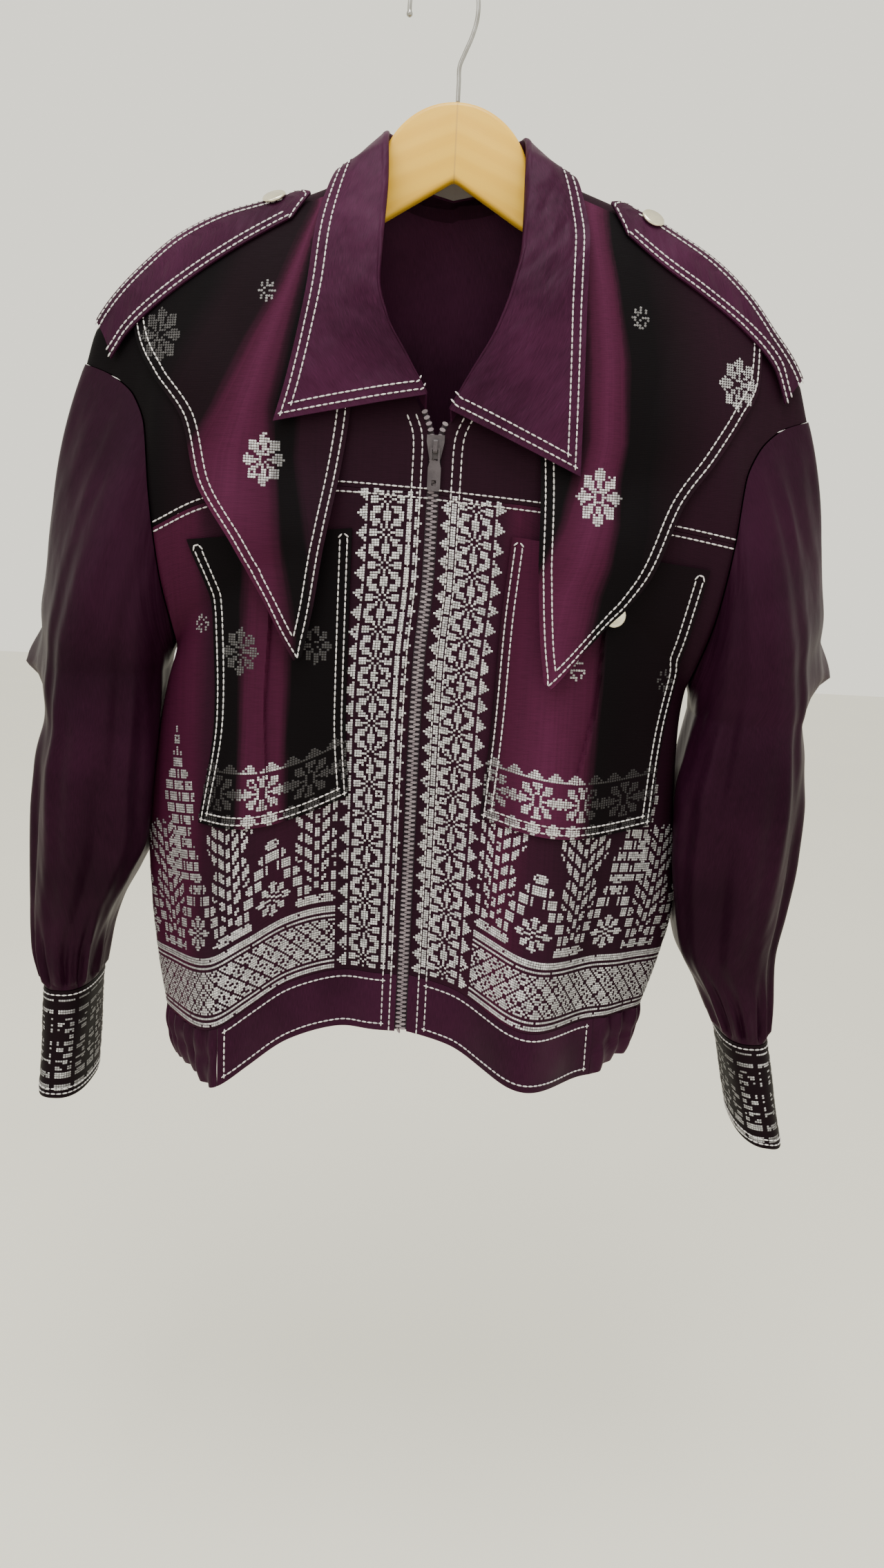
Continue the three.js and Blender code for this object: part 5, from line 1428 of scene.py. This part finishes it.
# ---------- settings ----------
class JacketSizes(bpy.types.PropertyGroup):
    """The sizes a maker would change."""

    wall: FloatProperty(name="Cloth Thickness", description="One layer of lined cloth", default=0.0012,
                        min=0.0008, max=0.002, precision=4, unit="LENGTH")
    stitch_pitch: FloatProperty(name="Stitch Pitch", description="From one topstitch to the next",
                                default=0.0047, min=0.002, max=0.01, precision=4, unit="LENGTH")
    stitch_thickness: FloatProperty(name="Thread Thickness", description="Of the topstitching thread",
                                    default=0.00138, min=0.0004, max=0.002, precision=5, unit="LENGTH")
    teeth_pitch: FloatProperty(name="Teeth Pitch", description="From one zip tooth to the next across the chain",
                               default=0.0019, min=0.001, max=0.004, precision=4, unit="LENGTH")
    button_radius: FloatProperty(name="Button Radius", description="Of every snap cap",
                                 default=0.009, min=0.006, max=0.012, precision=4, unit="LENGTH")
    wire_radius: FloatProperty(name="Hook Wire Radius", description="Of the hanger's hook",
                               default=0.0016, min=0.001, max=0.0025, precision=5, unit="LENGTH")
    button_sides: IntProperty(name="Button Sides", description="Facets round a snap cap", default=56, min=24, max=96)


class JacketColours(bpy.types.PropertyGroup):
    """The colours a maker would change."""

    satin_deep: FloatVectorProperty(name="Satin Shade", description="The satin where it turns away",
                                    subtype="COLOR", size=3, default=(0.0125, 0.0026, 0.0084), min=0, max=1)
    satin_bright: FloatVectorProperty(name="Satin Light", description="The satin where it catches light",
                                      subtype="COLOR", size=3, default=(0.036, 0.0072, 0.0235), min=0, max=1)
    stitch: FloatVectorProperty(name="Topstitching", description="The thick white thread",
                                subtype="COLOR", size=3, default=(0.8, 0.77, 0.77), min=0, max=1)
    floor: FloatVectorProperty(name="Room", description="The plain light room round the jacket",
                               subtype="COLOR", size=3, default=(0.93, 0.905, 0.79), min=0, max=1)


def wall_of(context):
    """The cloth's thickness in millimetres."""
    return context.scene.jacket_sizes.wall * 1000


# ---------- the stage ----------
EYE, EYE_DOWN, EYE_ROLL = (14.66, -900, -428.28), 11, 3  # the camera's place, and its tilts in degrees
SENSOR, LENS = 36, 36 * 1600 / 2270
ROOM_LIGHT = 1.5
FLOOR_HALF, FLOOR_Z, FLOOR_LINES = 9, -1.35, 24
LAMPS = (  # name, place, size and power
    ("window", (-1.3, -1.7, 0.9), 1.3, 14),
    ("fill", (1.7, -1.7, -0.1), 1.5, 5),
    ("ceiling", (0.0, -0.8, 1.5), 1.1, 34),
)


# ---------- one operator for each piece or group of like pieces ----------
class JACKET_OT_stage(bpy.types.Operator):
    """Sets the camera, a plain pale floor and soft studio light"""

    bl_idname = "jacket.stage"
    bl_label = "Stage"

    def execute(self, context):
        scene, colours = context.scene, context.scene.jacket_colours
        lens = bpy.data.cameras.new("camera")
        lens.sensor_width, lens.lens, lens.clip_end = SENSOR, LENS, 60
        camera = bpy.data.objects.new("camera", lens)
        scene.collection.objects.link(camera)
        down, roll = math.radians(EYE_DOWN), math.radians(EYE_ROLL)
        ahead = Vector((0, math.cos(down), -math.sin(down)))
        level, up = Vector((1, 0, 0)), Vector((0, math.sin(down), math.cos(down)))
        right = level * math.cos(roll) + up * math.sin(roll)
        top = up * math.cos(roll) - level * math.sin(roll)
        turn = Matrix((right, top, -ahead)).transposed().to_4x4()
        camera.matrix_world = Matrix.Translation(home(EYE)) @ turn
        scene.camera = camera
        n = FLOOR_LINES
        xs = np.linspace(-FLOOR_HALF, FLOOR_HALF, n)
        verts = [(x, y, FLOOR_Z) for y in xs for x in xs]
        starts = [j * n + i for j in range(n - 1) for i in range(n - 1)]
        faces = [(k, k + 1, k + n + 1, k + n) for k in starts]
        mesh = bpy.data.meshes.new("floor")
        mesh.from_pydata(verts, [], faces)
        link("floor", mesh, (floor_finish("floor"),))
        world = scene.world or bpy.data.worlds.new("room")
        scene.world = world
        world.use_nodes = True
        world.node_tree.nodes["Background"].inputs["Color"].default_value = (*colours.floor, 1)
        world.node_tree.nodes["Background"].inputs["Strength"].default_value = ROOM_LIGHT
        for name, place, size, power in LAMPS:
            lamp = bpy.data.lights.new(name, "AREA")
            lamp.energy, lamp.size = power, size
            holder = bpy.data.objects.new(name, lamp)
            scene.collection.objects.link(holder)
            holder.location = place
            aim = Vector((0.01, 0, -0.45)) - Vector(place)
            holder.rotation_mode = "QUATERNION"
            holder.rotation_quaternion = aim.to_track_quat("-Z", "Y")
        return {"FINISHED"}


class JACKET_OT_finishes(bpy.types.Operator):
    """Makes every cloth, thread, metal, plastic and wood finish"""

    bl_idname = "jacket.finishes"
    bl_label = "Finishes"

    def execute(self, context):
        make_materials()
        return {"FINISHED"}


class JACKET_OT_fronts(bpy.types.Operator):
    """Sews the songket fronts and the satin yokes, with their seam and the zip's topstitching"""

    bl_idname = "jacket.fronts"
    bl_label = "Fronts and Yokes"

    def execute(self, context):
        wall = wall_of(context)
        for side in SIDES:
            front, yoke = front_surface(side), yoke_surface(side)
            sew("front_cloth_" + side, front, wall, paint("songket_body_" + side), paint("lining"),
                "front_" + side, uv=front_places(front))
            sew("yoke_cloth_" + side, yoke, wall, paint("songket_yoke_" + side), paint("lining"),
                "yoke_" + side, uv=shown_places(yoke))
            paths = [edge_path(front, "last row", 3.3, end=4, n=160), edge_path(yoke, "first row", 3.3, end=4, n=160)]
            shown = np.flatnonzero(yoke.p[:, 0, 2] < -316)
            for inset in ZIP_STITCHES[side]:
                paths.append(edge_path(front, "first column", inset, n=300))
                r = np.linspace(0, shown.max(), 60)
                straight = np.maximum(inset, inset + ZIP_HALF - np.abs(
                    yoke.sample(yoke.p, r, 0 * r)[:, 0] - FRONT[side].drift(yoke.sample(yoke.p, r, 0 * r)[:, 2])))
                column = np.array([yoke.across(a, max(1.0, d))[0] for a, d in zip(r, straight)])
                paths.append(on_cloth(yoke, r, column))
            stitch("stitches_front_" + side, paths)
        return {"FINISHED"}


class JACKET_OT_back(bpy.types.Operator):
    """Sews the songket back and the satin that faces the inside of its neck"""

    bl_idname = "jacket.back"
    bl_label = "Back"

    def execute(self, context):
        back = back_surface()
        sew("back_cloth", back, wall_of(context), paint("songket_back"), paint("lining"),
            "back", uv=front_places(back))
        rows = slice(BACK_LOW + 11, back.rows - 9)  # what the open neck shows
        middle = back.cols // 2
        reach = int(np.argmax(back.u[back.rows - 19, middle:] - back.u[back.rows - 19, middle] > 70))
        columns = slice(middle - reach, middle + reach + 1)
        inner = back.p[rows, columns] - back.out[rows, columns] * (WALL + SEAM)
        sew("facing_cloth", Cloth(inner, (0, 1, 0)), 1.0, paint("satin"), paint("satin"),
            "back_facing")
        return {"FINISHED"}


class JACKET_OT_sleeves(bpy.types.Operator):
    """Sews the full satin sleeves, gathered into their cuffs"""

    bl_idname = "jacket.sleeves"
    bl_label = "Sleeves"

    def execute(self, context):
        for side in SIDES:
            sew("sleeve_cloth_" + side, sleeve_surface(side), wall_of(context),
                paint("satin_sleeve"), paint("lining"), "sleeve_" + side,
                closed=True)
        return {"FINISHED"}


class JACKET_OT_cuffs(bpy.types.Operator):
    """Sews the songket cuffs and their topstitching"""

    bl_idname = "jacket.cuffs"
    bl_label = "Cuffs"

    def execute(self, context):
        for side in SIDES:
            cuff = cuff_surface(side)
            sew("cuff_cloth_" + side, cuff, 1.8, paint("songket_cuff"), paint("lining"),
                "cuff_" + side, closed=True)
            middle = cuff.p[..., 0].mean()
            # painted shade: the cuff's floats darken away from its middle in x, lit where the cuff faces front and
            # back, shaded at its sides
            weave("silver_cuff_" + side, cuff, cuff_figure, 0, 213, 0, 92,
                  shade=lambda place: 0.45 + 0.5 * np.exp(-(((place[:, 0] - middle) / 14) ** 2)))
            rows = [edge_path(cuff, edge, inset, n=160) for edge, inset in
                    (("first row", 3.5), ("last row", 4.0), ("last row", 8.5))]
            stitch("stitches_cuff_" + side, rows)
        return {"FINISHED"}


class JACKET_OT_flaps(bpy.types.Operator):
    """Hangs the pointed statement flaps, with their stars and double topstitching"""

    bl_idname = "jacket.flaps"
    bl_label = "Statement Flaps"

    def execute(self, context):
        stars = {"left": ((132, 236, 6.5), (129, 356, 16), (211, 269, 17)),
                 "right": ((142, 242, 7), (119, 371, 17.5), (219, 283, 16))}
        for side in SIDES:
            flap = flap_surface(side)
            sew("flap_cloth_" + side, flap, wall_of(context), paint("songket_flap_" + side),
                paint("lining"), "flap_" + side,
                uv=flap_places(flap, side))

            def shade(place, side=side):
                x, z = np.abs(place[:, 0]), place[:, 2]
                if side == "left":
                    bright = smooth([0, 118, 128, 400], [0.6, 0.6, 1, 1])(x)
                    return np.where(x > 180, 0.34, np.where(z > -300, 0.7, bright))
                bright = smooth([0, 128, 138, 170, 185, 400], [1, 1, 0.55, 0.55, 1, 1])(x)
                return np.where(z > -260, 0.6, bright)

            scatter("silver_flap_" + side, flap, stars[side], shade)
            paths = []
            for inset in (3.6, 9.6):
                paths += [edge_path(flap, "first column", inset, start=2, n=260),
                          edge_path(flap, "last column", inset, start=2, n=260)]
            stitch("stitches_flap_" + side, paths)
        return {"FINISHED"}


class JACKET_OT_pockets(bpy.types.Operator):
    """Sews the pleated patch pockets"""

    bl_idname = "jacket.pockets"
    bl_label = "Pockets"

    def execute(self, context):
        for side in SIDES:
            pocket = pocket_surface(side)
            places = shown_places(pocket)
            sew("pocket_cloth_" + side, pocket, wall_of(context),
                paint("songket_pocket_" + side), paint("lining"), "pocket_" + side,
                uv=places)
            foot = pocket.v[-1][None, :] - pocket.v
            across = np.abs(pocket.p[..., 0])

            def shade(place, side=side):
                ends = ([0, 104, 112, 136, 144, 400], [0.1, 0.1, 1, 1, 0.12, 0.12]) if side == "left" else \
                    ([0, 66, 80, 122, 131, 400], [0.45, 0.6, 1, 1, 0.05, 0.05])
                return smooth(*ends)(np.abs(place[:, 0]))

            weave("silver_pocket_" + side, pocket, pocket_figure, 40, 220, 0, 52, across, foot, shade)
            stars = {"left": ((144, 498, 15), (86, 490, 12)), "right": ((113, 499, 7), (184, 505, 7.5))}
            tones = (0.12, 0.34) if side == "left" else (0.9, 0.25)  # nearer the centre, and further out
            scatter("silver_pocket_stars_" + side, pocket, stars[side],
                    lambda place: np.where(np.abs(place[:, 0]) < 120, *tones))
            paths = []
            for column in ("first column", "last column"):  # the two rows meet over the top
                a, b = (edge_path(pocket, column, inset, start=5, end=inset, n=200) for inset in (3.2, 8.8))
                paths.append(tuple(np.concatenate([x[::-1], y]) for x, y in zip(a, b)))
            paths += [edge_path(pocket, "last row", inset, start=inset, end=inset, n=140) for inset in (3.2, 8.8)]
            stitch("stitches_pocket_" + side, paths)
        return {"FINISHED"}


class JACKET_OT_epaulettes(bpy.types.Operator):
    """Lays the satin epaulettes over the shoulders"""

    bl_idname = "jacket.epaulettes"
    bl_label = "Epaulettes"

    def execute(self, context):
        for side in SIDES:
            strap = epaulette_surface(side)
            sew("epaulette_cloth_" + side, strap, 1.6, paint("satin_crumpled"), paint("satin"),
                "epaulette_" + side)
            paths = [edge_path(strap, edge, inset, start=inset + 3, n=160)
                     for edge, insets in (("first row", (4.6, 10.0)), ("last row", (2.8, 8.2))) for inset in insets]
            paths.append(edge_path(strap, "first column", 3.0, start=2, end=2, n=50))
            stitch("stitches_epaulette_" + side, paths)
        return {"FINISHED"}


class JACKET_OT_collar(bpy.types.Operator):
    """Turns the wide satin collar over at its roll line, double-stitched round its edge"""

    bl_idname = "jacket.collar"
    bl_label = "Collar"

    def execute(self, context):
        collar = collar_surface()
        sew("collar_cloth", collar, 1.4, paint("satin_crumpled"), paint("satin"), "collar")
        paths = []
        for inset in (4.6, 10.8):
            paths.append(edge_path(collar, "last column", inset, start=inset, end=inset, n=900))
            for edge in ("first row", "last row"):
                paths.append(edge_path(collar, edge, inset, start=15, end=inset, n=140))
        stitch("stitches_collar", paths)
        return {"FINISHED"}


class JACKET_OT_waistband(bpy.types.Operator):
    """Sews the flat front bands and the gathered elastic band"""

    bl_idname = "jacket.waistband"
    bl_label = "Waistband"

    def execute(self, context):
        for side in SIDES:
            band = band_surface(side)
            sew("band_cloth_" + side, band, 1.6, paint("satin"), paint("lining"),
                "waistband_front_" + side)
            near, first = ZIP_STITCHES[side]
            paths = [edge_path(band, "first row", 5.5, start=first, end=6, n=120),
                     edge_path(band, "last row", 6.0, start=first, end=6, n=120),
                     edge_path(band, "first column", first, start=5.5, end=6, n=40),
                     edge_path(band, "last column", 6.0, start=5.5, end=6, n=40),
                     edge_path(band, "first column", near, end=2, n=40)]
            stitch("stitches_band_" + side, paths)
        elastic = elastic_surface()
        sew("elastic_cloth", elastic, 1.6, paint("satin"), paint("lining"), "waistband_elastic")
        return {"FINISHED"}


class JACKET_OT_silver(bpy.types.Operator):
    """Weaves the silver figures into the fronts and the back"""

    bl_idname = "jacket.silver"
    bl_label = "Silver Figures"

    def execute(self, context):
        for side in SIDES:
            front = front_surface(side)
            weave("silver_front_" + side, front, front_figure(side), 0, 330, 0, 400)
            if side == "left":
                scatter("silver_front_star", front, ((178, 479, 6.5),), lambda place: np.full(len(place), 0.8))
        back = back_surface()
        middle = back.cols // 2
        weave("silver_back", back, back_figure, -330, 330, 0, 520, back.u - back.u[:, middle:middle + 1])
        return {"FINISHED"}


def zip_line(z, side="left"):
    half = FRONT[side]
    v = np.clip(half.rise(0.0, z), 0, 1)
    return points(half.drift(z), half.y(0.0, v), z)


def strip(line, left, right, near, far):
    """A flat tape along a line: its two edges, and how far in front and behind it lies."""
    ring = np.array([(left, near, 0), (right, near, 0), (right, far, 0), (left, far, 0)], float)
    return line[:, None] + ring[None]


class JACKET_OT_zip(bpy.types.Operator):
    """Closes the zip: tapes, interlocked teeth, two open ends, and the slider with its pull tab"""

    bl_idname = "jacket.zip"
    bl_label = "Zip"

    def execute(self, context):
        sizes = context.scene.jacket_sizes
        line = zip_line(np.linspace(ZIP["top"] + 2, ZIP["bottom"], 220))
        behind = line + points(0.0, np.maximum(0, zip_line(line[:, 2], "right")[:, 1] - line[:, 1]), 0.0)
        under = WALL + 1.1
        outs = np.tile((0.0, -1.0, 0.0), (len(line), 1))
        mesh = turned("zip_tape", strip(behind, -ZIP["tape"], ZIP["tape"], under - 1.2, under + 0.6))
        self.lay(mesh, "zip_tape", "zip_chain")
        self.teeth("zip_teeth", line + (0, 0.1, 0), outs, 1.0, 0.0049, 0.0018, sizes)
        for side in SIDES:
            half, sign = FRONT[side], SIGN[side]
            z = np.linspace(-333, ZIP[side], 30)
            edge = half.point(0.0, half.rise(0.0, z))
            left, right = sorted((-ZIP["chain"] * sign, 9 * sign))
            mesh = turned("zip_end_" + side, strip(edge, left, right, under - 0.6, under + 0.9))
            self.lay(mesh, "zip_end_" + side, "zip_open_" + side)
            along = edge + points(-2.3 * sign, -0.2, 0.0)
            self.teeth("zip_end_teeth_" + side, along, outs[:len(z)], 0.0, 0.0043, 0.0026, sizes)
        for node in ("slider", "pull_tab"):
            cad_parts[node].data.materials.clear()
            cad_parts[node].data.materials.append(paint("zip_pull"))
        return {"FINISHED"}

    @staticmethod
    def lay(mesh, name, node):
        piece = link(name, mesh, (paint("zip_tape"),))
        layer = mesh.uv_layers.new(name="cloth")
        for loop in mesh.loops:
            co = mesh.vertices[loop.vertex_index].co
            layer.data[loop.index].uv = (co.x, co.z)
        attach(piece, "jacket")
        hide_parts(node)

    @staticmethod
    def teeth(name, line, outs, both, width, height, sizes):
        source = line_object(name + "_line", [(line, outs)])
        repeat(name, source, grown("zip_teeth", teeth_tree), "zip_plastic", pitch=sizes.teeth_pitch * (2 - both),
               width=width, height=height, reach=0.0016, both_sides=both, material=paint("zip_plastic"))


class JACKET_OT_buttons(bpy.types.Operator):
    """Sets the bright snap caps on the epaulettes and pockets"""

    bl_idname = "jacket.buttons"
    bl_label = "Buttons"

    def execute(self, context):
        sizes = context.scene.jacket_sizes
        r, n = sizes.button_radius * 1000, sizes.button_sides
        # the radius and height of each ring, from the cloth up
        profile = [(r - 1.2, 0.0), (r - 0.25, 0.25), (r, 0.75), (r - 0.08, 1.35), (r - 0.45, 1.95), (r - 1.05, 2.3),
                   (r - 1.6, 2.38), (r - 2.0, 2.3), (r - 3.2, 2.5), (r * 0.35, 2.75), (0.4, 2.8)]
        ring = np.linspace(0, math.tau, n, endpoint=False)
        for side in SIDES:
            for where, lift in (("epaulette", EPAULETTE_LIFT + SEAM + 0.6), ("pocket", BUTTON_LIFT[side])):
                half = FRONT[side]
                u, v = half.find(*BUTTONS[side][where])
                seat, out = half.lifted(u, v, lift), half.out(u, v)
                a = unit(np.cross(out, (0, 0, 1.0)))
                b = np.cross(a, out)
                loops = np.array([seat + out * h + (a * np.cos(ring)[:, None] + b * np.sin(ring)[:, None]) * q
                                  for q, h in profile])
                name = where + "_snap_" + side
                piece = link(name, turned(name, loops), (paint("button_metal"),))
                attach(piece, "jacket")
                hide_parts(where + "_button_" + side)
        return {"FINISHED"}


class JACKET_OT_label(bpy.types.Operator):
    """Sews a bare label inside the collar's stand"""

    bl_idname = "jacket.label"
    bl_label = "Neck Label"

    def execute(self, context):
        collar = collar_surface()
        near = np.flatnonzero(np.abs(collar.p[:, 0, 0]) < 24)
        near = near[collar.p[near, 0, 1] > 0]
        r = np.linspace(near.min(), near.max(), 60)[None]
        c = np.linspace(0.3, 6.2, 12)[:, None]
        grid = collar.sample(collar.p, *np.broadcast_arrays(r, c)) + (0, -0.9, 0)
        label = Cloth(grid, (0, -1, 0))
        # the label's finish carries painted shade
        sew("label_strip", label, 0.6, paint("label_cloth"), paint("label_cloth"), "neck_label")
        ends = [edge_path(label, edge, 1.6, start=1, end=1, n=30) for edge in ("first column", "last column")]
        stitch("stitches_label", ends, pitch=0.0024)
        return {"FINISHED"}


def bent(route, n):
    """Even points along a centripetal curve through a route."""
    route = np.asarray(route, float)
    p = np.concatenate([[2 * route[0] - route[1]], route, [2 * route[-1] - route[-2]]])
    runs = []
    for i in range(1, len(p) - 2):
        t = np.concatenate([[0], np.cumsum(np.sqrt(np.linalg.norm(np.diff(p[i - 1:i + 3], axis=0), axis=1)))])
        s = np.linspace(t[1], t[2], 40)[:, None]
        a = [(p[i - 1 + k] * (t[k + 1] - s) + p[i + k] * (s - t[k])) / (t[k + 1] - t[k]) for k in range(3)]
        b = [(a[k] * (t[k + 2] - s) + a[k + 1] * (s - t[k])) / (t[k + 2] - t[k]) for k in range(2)]
        runs.append(((b[0] * (t[2] - s) + b[1] * (s - t[1])) / (t[2] - t[1]))[:-1])
    path = np.concatenate([*runs, route[-1:]])
    length = lengths_along(path)
    at = np.linspace(0, length[-1], n)
    return np.stack([np.interp(at, length, path[:, k]) for k in range(path.shape[1])], 1)


class JACKET_OT_hanger(bpy.types.Operator):
    """Cuts the wooden hanger and bends its wire hook"""

    bl_idname = "jacket.hanger"
    bl_label = "Hanger"

    def execute(self, context):
        self.wood()
        self.hook(context.scene.jacket_sizes.wire_radius * 1000)
        return {"FINISHED"}

    @staticmethod
    def wood():
        r, arm = HANGER["radius"], HANGER["arm"]
        d = np.radians(np.linspace(-72, 72, 49))
        arch = np.stack([r * np.sin(d), HANGER["top"] - r + r * np.cos(d)], 1)

        def top(side):
            p = FRONT[side].point(spread(36), 1.0)
            p = p[np.abs(p[:, 0]) < arm]
            drop = HANGER["below"] + 8 * (np.abs(p[:, 0]) - NECK_X) / arm
            return np.stack([p[:, 0], p[:, 2] - drop], 1)

        def tip(sign):
            return bent([(sign * (arm + 1), -222), (sign * (arm + 5), -230), (sign * (arm + 4), -238),
                         (sign * (arm - 4), -243)], 9)

        def under(sign):
            return bent([(sign * 200, -236), (sign * 150, -215), (sign * 100, -196), (sign * 50, -173)], 16)

        outline = np.concatenate([arch, [(57, -141)], top("right"), tip(1), under(1), [(0, HANGER["apex"])],
                                  under(-1)[::-1], tip(-1)[::-1], top("left")[::-1], [(-57, -141)]])
        half = HANGER["thick"] / 2
        shape = bmesh.new()
        ring = [shape.verts.new(home((x, half, z))) for x, z in outline]
        face = shape.faces.new(ring)
        made = bmesh.ops.extrude_face_region(shape, geom=[face])
        moved = [g for g in made["geom"] if isinstance(g, bmesh.types.BMVert)]
        bmesh.ops.translate(shape, vec=(0, -HANGER["thick"] * 0.001, 0), verts=moved)
        bmesh.ops.recalc_face_normals(shape, faces=shape.faces)
        mesh = bpy.data.meshes.new("hanger_arms")
        shape.to_mesh(mesh)
        shape.free()
        source = link("hanger_blank", mesh)
        edge = source.modifiers.new("edge", "BEVEL")
        edge.width, edge.segments, edge.limit_method, edge.angle_limit = 0.0034, 4, "ANGLE", math.radians(60)
        cut = solved(source)
        cut.shade_smooth()
        cut.set_sharp_from_angle(angle=math.radians(35))
        piece = link("hanger_arms", cut, (paint("hanger_wood"),))
        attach(piece, "jacket")
        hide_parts("hanger")

    @staticmethod
    def hook(wire):
        loop, middle = 25, -HOOK_OFFSET
        z = wire - loop
        turn = [(middle + loop * math.cos(math.radians(d)), z + loop * math.sin(math.radians(d)))
                for d in np.linspace(0, 180, 9)]
        # x and z from inside the wood up the neck, round the loop, and down to its open end
        route = [(0, -88.5), (0, -76), (0, -65), (3.4, -56), (8, -45), (11, -34), *turn, (middle - loop, -34)]
        path = bent(route, 190)
        ahead = unit(np.gradient(path, axis=0))
        side = np.stack([-ahead[:, 1], 0 * ahead[:, 0], ahead[:, 0]], 1)
        centre = points(path[:, 0], 0.0, path[:, 1])
        length = lengths_along(path)
        left = length[-1] - length
        knob, seat = 2.3, 2.2  # the rounded end: its radius, and how far its middle lies from the end
        ball = np.sqrt(np.clip(knob ** 2 - (left - seat) ** 2, 0.04, None))
        radius = np.where(left < 4, np.maximum(ball, np.where(left < seat, 0, wire)), wire)
        a = np.linspace(0, math.tau, 20, endpoint=False)
        ring = side[:, None] * np.cos(a)[None, :, None] + np.array((0, 1.0, 0)) * np.sin(a)[None, :, None]
        loops = centre[:, None] + ring * radius[:, None, None]
        piece = link("hook_wire", turned("hook_wire", loops), (paint("hook_wire"),))
        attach(piece, "jacket")
        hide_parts("hanger_hook")


STEPS = (JACKET_OT_stage, JACKET_OT_finishes, JACKET_OT_hanger, JACKET_OT_fronts, JACKET_OT_back, JACKET_OT_sleeves,
         JACKET_OT_cuffs, JACKET_OT_collar, JACKET_OT_pockets, JACKET_OT_flaps, JACKET_OT_epaulettes,
         JACKET_OT_waistband, JACKET_OT_silver, JACKET_OT_zip, JACKET_OT_buttons, JACKET_OT_label)


class JACKET_PT_pieces(bpy.types.Panel):
    """The jacket's settings and one button for each piece"""

    bl_label = "Jacket"
    bl_idname = "JACKET_PT_pieces"
    bl_space_type = "VIEW_3D"
    bl_region_type = "UI"
    bl_category = "Jacket"

    def draw(self, context):
        column = self.layout.column()
        for group in (context.scene.jacket_sizes, context.scene.jacket_colours):
            for name in group.__annotations__:
                column.prop(group, name)
        for step in STEPS:
            column.operator(step.bl_idname)


CLASSES = (JacketSizes, JacketColours, *STEPS, JACKET_PT_pieces)


def register():
    for kind in CLASSES:
        bpy.utils.register_class(kind)
    bpy.types.Scene.jacket_sizes = PointerProperty(type=JacketSizes)
    bpy.types.Scene.jacket_colours = PointerProperty(type=JacketColours)


def unregister():
    del bpy.types.Scene.jacket_sizes, bpy.types.Scene.jacket_colours
    for kind in reversed(CLASSES):
        bpy.utils.unregister_class(kind)


def main():
    register()
    for step in STEPS:
        group, name = step.bl_idname.split(".")
        getattr(getattr(bpy.ops, group), name)()


if __name__ == "__main__":
    main()
